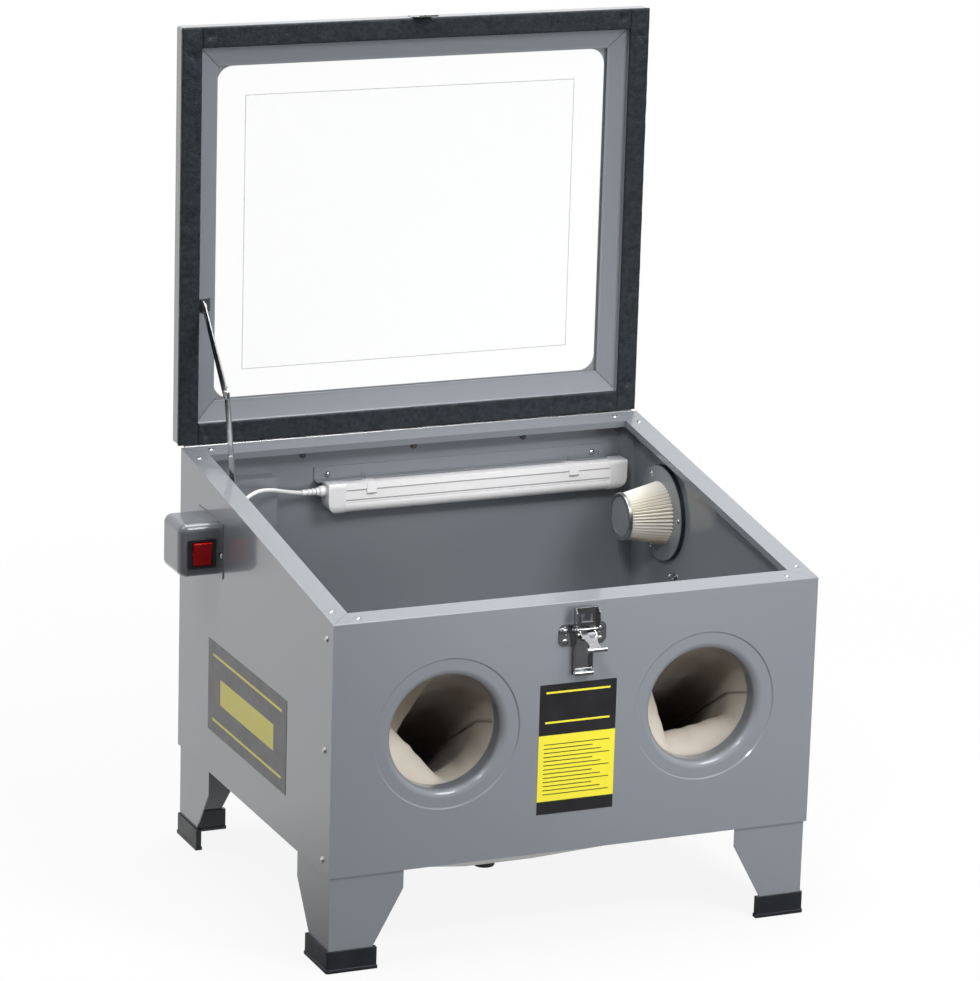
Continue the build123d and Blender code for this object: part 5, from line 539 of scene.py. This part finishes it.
# ---------------------------------------------------------------- lamp cord on its route
CORD_D = 0.0048
PLUG_TIP_X = -0.146
PLUG_END = Vector((PLUG_TIP_X, corner("lamp_plug", 0, 0.5, 0).y, corner("lamp_plug", 0, 0, 0.5).z))
GROMMET = corner("cord_grommet", 0, 0.5, 0.5)
CORD_END = Vector((SIDE_LEFT - 0.001, GROMMET.y, GROMMET.z))
CORD_ROUTE = [PLUG_END + Vector(step) / 1000 for step in (
    (0, 0, 0), (-14, -3, 2.5), (-31, -16, 8.5), (-51, -29, 15.5), (-70, -40, 18.5), (-88, -51, 15)
)] + [CORD_END + Vector(step) / 1000 for step in ((40, 5, 15.5), (21, 0, 0), (0, 0, 0))]
curve = bpy.data.curves.new("cord_line", "CURVE")
curve.dimensions = "3D"
curve.bevel_depth = CORD_D / 2
curve.bevel_resolution = 6
curve.resolution_u = 12
curve.use_fill_caps = True
line = curve.splines.new("NURBS")
line.points.add(len(CORD_ROUTE) - 1)
for point, place in zip(line.points, CORD_ROUTE):
    point.co = (*place, 1)
line.order_u = 3
line.use_endpoint_u = True
line.use_smooth = True
curve.materials.append(white)
cord = bpy.data.objects.new("lamp_lead", curve)
scene.collection.objects.link(cord)
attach(cord, "cabinet")
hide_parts("lamp_cord")


# ---------------------------------------------------------------- canvas sleeves with their glove hands
PORT_OUT = 0.1545
CLOTH_T = 0.0012
CLOTH_LIFT = 0.0004               # between the cloth and the grate
STATIONS = (                      # depth, sideways, height over the tub, half width, half height
    (0.0125, 0.0, PORT_RISE, PORT_R, PORT_R),
    (0.026, 0.0, PORT_RISE, PORT_R, PORT_R),
    (0.058, 0.0, 0.1415, 0.062, 0.058),
    (0.108, 0.002, 0.1075, 0.056, 0.051),
    (0.160, 0.004, 0.0705, 0.052, 0.040),
    (0.212, 0.004, 0.0362, 0.045, 0.030),
    (0.252, 0.004, 0.0232, 0.046, 0.018),
    (0.286, 0.004, 0.0152, 0.040, 0.0105),
)
FOLDS = {                         # from and to angle, depth where it starts, is deepest and ends, strength
    -1: ((165, 278, 0.024, 0.045, 0.072, 1.0), (85, 215, 0.048, 0.082, 0.125, 0.95),
         (286, 350, 0.085, 0.120, 0.165, 0.55)),
    1: ((146, 250, 0.024, 0.042, 0.072, 1.0), (222, 332, 0.028, 0.060, 0.105, 0.85),
        (348, 386, 0.026, 0.050, 0.080, 0.8), (60, 150, 0.070, 0.110, 0.150, 0.6)),
}


def blend_in(value, low, high):
    """Eases from 0 at low to 1 at high."""
    t = min(max((value - low) / (high - low), 0.0), 1.0)
    return t * t * (3 - 2 * t)


def fold_share(angle, depth, painted_pleat_shade):
    """How much of its radius the sleeve keeps where its folds cross it."""
    share = 1.0
    for start, end, first, deep, last, strength in painted_pleat_shade:
        middle = radians((start + end) / 2)
        half = radians((end - start) / 2)
        off = abs((angle - middle + pi) % (2 * pi) - pi)
        if off < half:
            pull = strength * blend_in(depth, first, deep) * (1 - blend_in(depth, deep + 0.004, last))
            share = min(share, 1 - pull * (1 - cos(half) / cos(off)))
    return share


def station(depth):
    """Sideways step, height and half sizes of the sleeve at a depth."""
    for low, high in zip(STATIONS, STATIONS[1:]):
        if depth <= high[0]:
            t = (depth - low[0]) / (high[0] - low[0])
            return [a + (b - a) * t for a, b in zip(low[1:], high[1:])]
    return list(STATIONS[-1][1:])


def cloth_tube(bm, around, along, size, place):
    """Adds a tube of cloth; place gives the point for an angle and a share of the length."""
    uv = bm.loops.layers.uv.verify()
    made = bmesh.ops.create_grid(bm, x_segments=around, y_segments=along, size=0.5, calc_uvs=True)["verts"]
    for face in {f for v in made for f in v.link_faces}:
        for loop in face.loops:
            loop[uv].uv = (loop[uv].uv.x * size[0], loop[uv].uv.y * size[1])
    for v in made:
        v.co = place(2 * pi * (v.co.x + 0.5), v.co.y + 0.5)
    bmesh.ops.remove_doubles(bm, verts=made, dist=MERGE / 2)


def sleeve_place(side):
    """Where the cloth of a port's sleeve goes, from the neck down to the palm on the grate."""
    def place(angle, share):
        depth = SLEEVE_START + (SLEEVE_END - SLEEVE_START) * share
        shift, rise, wide, high = station(depth)
        kept = fold_share(angle, depth, FOLDS[side])
        soft = blend_in(depth, 0.026, 0.06)
        crumple = 0.5 + 0.5 * sin(7 * angle + 60 * depth * side) * sin(4 * angle - 95 * depth)
        kept *= 1 - soft * 0.05 * crumple
        kept = max(kept, 0.05)
        fine = noise.noise(Vector((angle * 3, depth * 60, side))) * 0.0012 * soft
        x = MID_X + side * (PORT_OUT + shift) + (wide * kept + fine - 0.0006 * soft) * cos(angle)
        z = TUB_LOW + rise + (high * kept + fine - 0.0006 * soft) * sin(angle)
        return Vector((x, FRONT + depth, max(z, GRATE_TOP + CLOTH_LIFT)))
    return place


def finger_place(root, tip, radius):
    """Where the cloth of one finger goes: rounded at both ends, a little limp between its joints."""
    root, tip = Vector(root), Vector(tip)
    turn = (tip - root).to_track_quat("Z", "Y").to_matrix()
    length = (tip - root).length
    cap = radius / length

    def place(angle, share):
        if share < cap:
            wide = radius * (1 - (1 - share / cap) ** 2) ** 0.5
        elif share > 1 - cap:
            wide = radius * max(0.0, 1 - ((share - 1 + cap) / cap) ** 2) ** 0.5
        else:
            wide = radius * (0.96 + 0.04 * cos((share - cap) * 3 * 2 * pi))
        seam = 1 + 0.05 * exp(-((abs(sin(angle))) / 0.12) ** 2)
        spot = Vector((wide * cos(angle) * 0.96 * seam, wide * sin(angle) * 0.96, length * share))
        spot += Vector((noise.noise(spot * 300), noise.noise(spot * 300 + Vector((5, 5, 5))), 0)) * 0.0004
        spot = root + turn @ spot
        spot.z = max(spot.z, GRATE_TOP + CLOTH_LIFT)
        return spot
    return place


def glove(name, side):
    """Drooping canvas sleeve from the port's neck with a limp hand lying on the grate."""
    bm = bmesh.new()
    cloth_tube(bm, 80, 56, (0.42, 0.30), sleeve_place(side))
    mouth_y = FRONT + SLEEVE_START + 0.001
    far = [e for e in bm.edges if e.is_boundary and min(v.co.y for v in e.verts) > mouth_y]
    bmesh.ops.contextual_create(bm, geom=far)
    hand_x = MID_X + side * (PORT_OUT + STATIONS[-1][1])
    low = GRATE_TOP + 0.0003 + FINGER_R
    root_y = FRONT + SLEEVE_END - 0.014
    for n in range(4):
        x = hand_x + (n - 1.5) * FINGER_PITCH
        length = 0.052 - 0.004 * abs(n - 1.6) + FINGER_R
        tip = (x, root_y + length, low)
        cloth_tube(bm, 20, 26, (0.06, 0.07), finger_place((x, root_y - 0.006, low), tip, FINGER_R))
    thumb = Vector((hand_x - side * 0.024, FRONT + STATIONS[-2][0] - 0.006, low))
    point = Vector((-side * 0.6, 0.8, 0))
    tip = thumb + point * (0.044 + FINGER_R)
    cloth_tube(bm, 20, 24, (0.06, 0.07), finger_place(thumb - point * 0.006, tip, FINGER_R))
    bmesh.ops.recalc_face_normals(bm, faces=bm.faces)
    o = piece(name, bm, canvas, "cabinet")
    wall = o.modifiers.new("cloth", "SOLIDIFY")
    wall.thickness = CLOTH_T
    wall.offset = -1
    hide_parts("left_glove" if side < 0 else "right_glove")
    return o


SLEEVE_START, SLEEVE_END = STATIONS[0][0], STATIONS[-1][0]
FINGER_R = 0.0095
FINGER_PITCH = 0.020
glove("left_canvas_glove", -1)
glove("right_canvas_glove", 1)


# ---------------------------------------------------------------- lamp cover and its rounded end caps
CAP_LONG = 0.022
CAP_ROUND = 0.0165
COVER_INSET = 0.015
COVER_SMALLER = 0.0008            # than the caps, all round
CLOSING = 0.12                    # share of a piece's run that closes each of its ends


def lamp_section(angle, grow, top):
    """A point of the lamp's section as y and z: straight sides and top, round below."""
    wide = (LAMP_HIGH.y - LAMP_LOW.y) / 2 + grow
    centre_z = LAMP_LOW.z - grow + wide
    c, s = cos(angle), sin(angle)
    reach = wide
    if s > 0:
        reach = min(wide / max(abs(c), 1e-6), (top - centre_z) / s)
    return (LAMP_LOW.y + LAMP_HIGH.y) / 2 + reach * c, centre_z + reach * s


def lamp_length(grow, top, ends, rounded):
    """Places a closed run of the lamp's section between two ends, with its rounded corner at the second."""
    def place(angle, share):
        y, z = lamp_section(angle, grow, top)
        if rounded:
            along = min(max((share - CLOSING) / (1 - 2 * CLOSING), 0), 1)
        else:
            along = blend_in(share, CLOSING, 1 - CLOSING)
        x = ends[0] + (ends[1] - ends[0]) * along
        off = abs(ends[1] - x)
        if rounded and off < CAP_ROUND:
            z = max(z, LAMP_LOW.z + CAP_ROUND - (CAP_ROUND**2 - (CAP_ROUND - off) ** 2) ** 0.5)
        shrink = min(share, 1 - share) / CLOSING
        if shrink < 1:
            middle_y, middle_z = (LAMP_LOW.y + LAMP_HIGH.y) / 2, min(LAMP_LOW.z + 0.026, top - 0.002)
            y = middle_y + (y - middle_y) * shrink
            z = middle_z + (z - middle_z) * shrink
        return Vector((x, y, z))
    return place


def lamp_piece(name, place, material, replaced):
    """A closed piece of the lamp with crisp edges, in place of a node if one is named."""
    bm = bmesh.new()
    cloth_tube(bm, 96, 50, (0.1, 0.1), place)
    bmesh.ops.recalc_face_normals(bm, faces=bm.faces)
    o = piece(name, bm, material, "cabinet")
    part = o.modifiers.new("creases", "EDGE_SPLIT")
    part.split_angle = radians(32)
    if replaced:
        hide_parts(replaced)


left_cap = lamp_length(0, LAMP_HIGH.z, (LAMP_LOW.x + CAP_LONG, LAMP_LOW.x), True)
right_cap = lamp_length(0, LAMP_HIGH.z, (LAMP_HIGH.x - CAP_LONG, LAMP_HIGH.x), True)
cover_ends = (LAMP_LOW.x + COVER_INSET, LAMP_HIGH.x - COVER_INSET)
lamp_piece("lamp_cap_left", left_cap, white, "lamp_end_caps")
lamp_piece("lamp_cap_right", right_cap, white, None)
whole_cover = lamp_length(-COVER_SMALLER, LAMP_SPLIT, cover_ends, False)
lamp_piece("lamp_cover", whole_cover, cover, "lamp_diffuser")


# ---------------------------------------------------------------- foam strips on the lid's face
FOAM_EDGE = 0.0011
FOAM_STEP = 0.0024
DENT_DEEP = 0.0017


def foam_strip(name, low, high, dents):
    """Cut foam strip with soft edges, pressed in where the corner screws meet it."""
    size = high - low
    bm = bmesh.new()
    bmesh.ops.create_cube(bm, size=1.0)
    bmesh.ops.scale(bm, vec=size, verts=bm.verts)
    bmesh.ops.translate(bm, vec=(low + high) / 2, verts=bm.verts)
    long_axis = 0 if size.x > size.z else 2
    runs = [e for e in bm.edges if abs((e.verts[0].co - e.verts[1].co)[long_axis]) > size[long_axis] * 0.9]
    bmesh.ops.bevel(bm, geom=runs, offset=FOAM_EDGE, offset_type="OFFSET", segments=2, profile=0.5,
                    affect="EDGES", material=-1)
    runs = [e for e in bm.edges if abs((e.verts[0].co - e.verts[1].co)[long_axis]) > size[long_axis] * 0.9]
    bmesh.ops.subdivide_edges(bm, edges=runs, cuts=int(size[long_axis] / FOAM_STEP), use_grid_fill=True)
    across = 2 - long_axis
    wide = [e for e in bm.edges if abs((e.verts[0].co - e.verts[1].co)[across]) > 0.01]
    bmesh.ops.subdivide_edges(bm, edges=wide, cuts=9, use_grid_fill=True)
    for v in bm.verts:
        lift = noise.noise(v.co * 55) * 0.0006 + noise.noise(v.co * 190) * 0.00035
        face = blend_in(high.y - v.co.y, 0.001, 0.003)
        press = 0.0
        for x, z in dents:
            press = max(press, DENT_DEEP * (1 - blend_in(hypot(v.co.x - x, v.co.z - z), 0.0028, 0.0056)))
        v.co.y += face * (0.0006 + lift + press)
    bmesh.ops.recalc_face_normals(bm, faces=bm.faces)
    o = piece(name, bm, foam, "lid")
    return o


gasket = mesh_of("lid_gasket")
for n, points in enumerate(islands(gasket)):
    low = Vector([min(p[i] for p in points) for i in range(3)])
    high = Vector([max(p[i] for p in points) for i in range(3)])
    pockets = [p for p in points if low.y + 0.0012 < p.y < low.y + 0.0018]
    dents = []
    for p in pockets:
        near = [d for d in dents if hypot(d[0] - p.x, d[1] - p.z) < 0.02]
        if near:
            near[0][2].append(p)
        else:
            dents.append([p.x, p.z, [p]])
    spots = []
    for d in dents:
        xs = [p.x for p in d[2]]
        zs = [p.z for p in d[2]]
        spots.append(((min(xs) + max(xs)) / 2, (min(zs) + max(zs)) / 2))
    foam_strip(f"foam_strip_{n + 1}", low, high, spots)
gasket.free()
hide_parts("lid_gasket")


# ---------------------------------------------------------------- lamps, studio and floor
def light(name, at, aim, size, energy, cone=None, mirrored=True):
    """Square soft light at a place, pointed at another, or a spot of a cone's angle."""
    data = bpy.data.lights.new(name, "SPOT" if cone else "AREA")
    data.energy = energy
    if cone:
        data.spot_size = radians(cone)
        data.spot_blend = 0.8
        data.shadow_soft_size = size / 2
    else:
        data.size = size
    o = bpy.data.objects.new(name, data)
    o.location = at
    o.rotation_mode = "QUATERNION"
    o.rotation_quaternion = (Vector(at) - Vector(aim)).to_track_quat("Z", "Y")
    o.visible_glossy = mirrored
    scene.collection.objects.link(o)


MIDDLE = (0, MID_Y, 0.4)
light("front_softbox", (0.9, -2.0, 2.4), MIDDLE, 1.1, 40)
light("low_softbox", (1.2, -2.6, 0.45), (0, MID_Y, 0.25), 1.0, 34, mirrored=False)
light("left_softbox", (-1.7, -0.4, 2.9), MIDDLE, 1.4, 20)
light("top_softbox", (0.1, 0.3, 3.0), MIDDLE, 1.6, 56)
light("snoot", (-0.9, -1.5, 1.75), (SIDE_RIGHT - 0.06, MID_Y + 0.08, 0.33), 0.3, 70, cone=24)

world = bpy.data.worlds.new("studio")
scene.world = world
world.use_nodes = True
tree = world.node_tree
tree.nodes.clear()
rays = tree.nodes.new("ShaderNodeLightPath").outputs


def larger(a, b):
    """The larger of two values of the studio."""
    node = tree.nodes.new("ShaderNodeMath")
    node.operation = "MAXIMUM"
    tree.links.new(a, node.inputs[0])
    tree.links.new(b, node.inputs[1])
    return node.outputs[0]


def white_light(strength):
    """Even white light of a strength."""
    node = tree.nodes.new("ShaderNodeBackground")
    node.inputs["Color"].default_value = (1, 1, 1, 1)
    node.inputs["Strength"].default_value = strength
    return node


dim = white_light(0.23)
clear = white_light(1.0)
heading = tree.nodes.new("ShaderNodeTexCoord")
parts = tree.nodes.new("ShaderNodeSeparateXYZ")
tree.links.new(heading.outputs["Generated"], parts.inputs[0])
room = tree.nodes.new("ShaderNodeMapRange")
for name, value in (("From Min", -0.75), ("From Max", -0.1), ("To Min", 0.34), ("To Max", 1.0)):
    room.inputs[name].default_value = value
tree.links.new(parts.outputs["Y"], room.inputs["Value"])
seen = larger(larger(rays["Is Camera Ray"], rays["Is Glossy Ray"]), rays["Is Transmission Ray"])
level = larger(room.outputs[0], larger(rays["Is Camera Ray"], rays["Is Transmission Ray"]))
tree.links.new(level, clear.inputs["Strength"])
mixed = tree.nodes.new("ShaderNodeMixShader")
out = tree.nodes.new("ShaderNodeOutputWorld")
for source, socket in zip((seen, dim.outputs[0], clear.outputs[0]), mixed.inputs):
    tree.links.new(source, socket)
tree.links.new(mixed.outputs[0], out.inputs["Surface"])

bm = bmesh.new()
bmesh.ops.create_circle(bm, cap_ends=True, segments=96, radius=9.0)
mesh = bpy.data.meshes.new("floor")
bm.to_mesh(mesh)
bm.free()
floor = bpy.data.objects.new("floor", mesh)
scene.collection.objects.link(floor)
f = Finish("floor_paper", (0.8, 0.8, 0.8), 0.9)
rays = f.add("LightPath").outputs
glow = f.add("Emission")
glow.inputs["Strength"].default_value = 1.0
near = f.add("TexGradient", gradient_type="SPHERICAL")
f.link(f.place((0.55, 0.55, 0.55)), near.inputs["Vector"])
far_share = f.ramp(near.outputs["Fac"], [(0.1, 1.0), (0.7, 0.89)])
unseen = f.mix(rays["Is Glossy Ray"], (0.24, 0.24, 0.24), (0.08, 0.08, 0.08))
f.color(f.mix(rays["Is Camera Ray"], unseen, (0.8, 0.8, 0.8)))
behind = f.ramp(f.math("ADD", f.axes()[1], 0.3), [(0.0, 0.0), (0.6, 1.0)])
mirrored = f.math("MULTIPLY", rays["Is Glossy Ray"], behind)
seen = f.math("MAXIMUM", f.math("MAXIMUM", rays["Is Camera Ray"], mirrored), rays["Is Transmission Ray"])
share = f.math("MULTIPLY", far_share, seen)
blend = f.add("MixShader")
f.link(share, blend.inputs[0])
f.link(f.shader.outputs[0], blend.inputs[1])
f.link(glow.outputs[0], blend.inputs[2])
f.link(blend.outputs[0], f.tree.nodes["Material Output"].inputs["Surface"])
floor.data.materials.append(f.material)
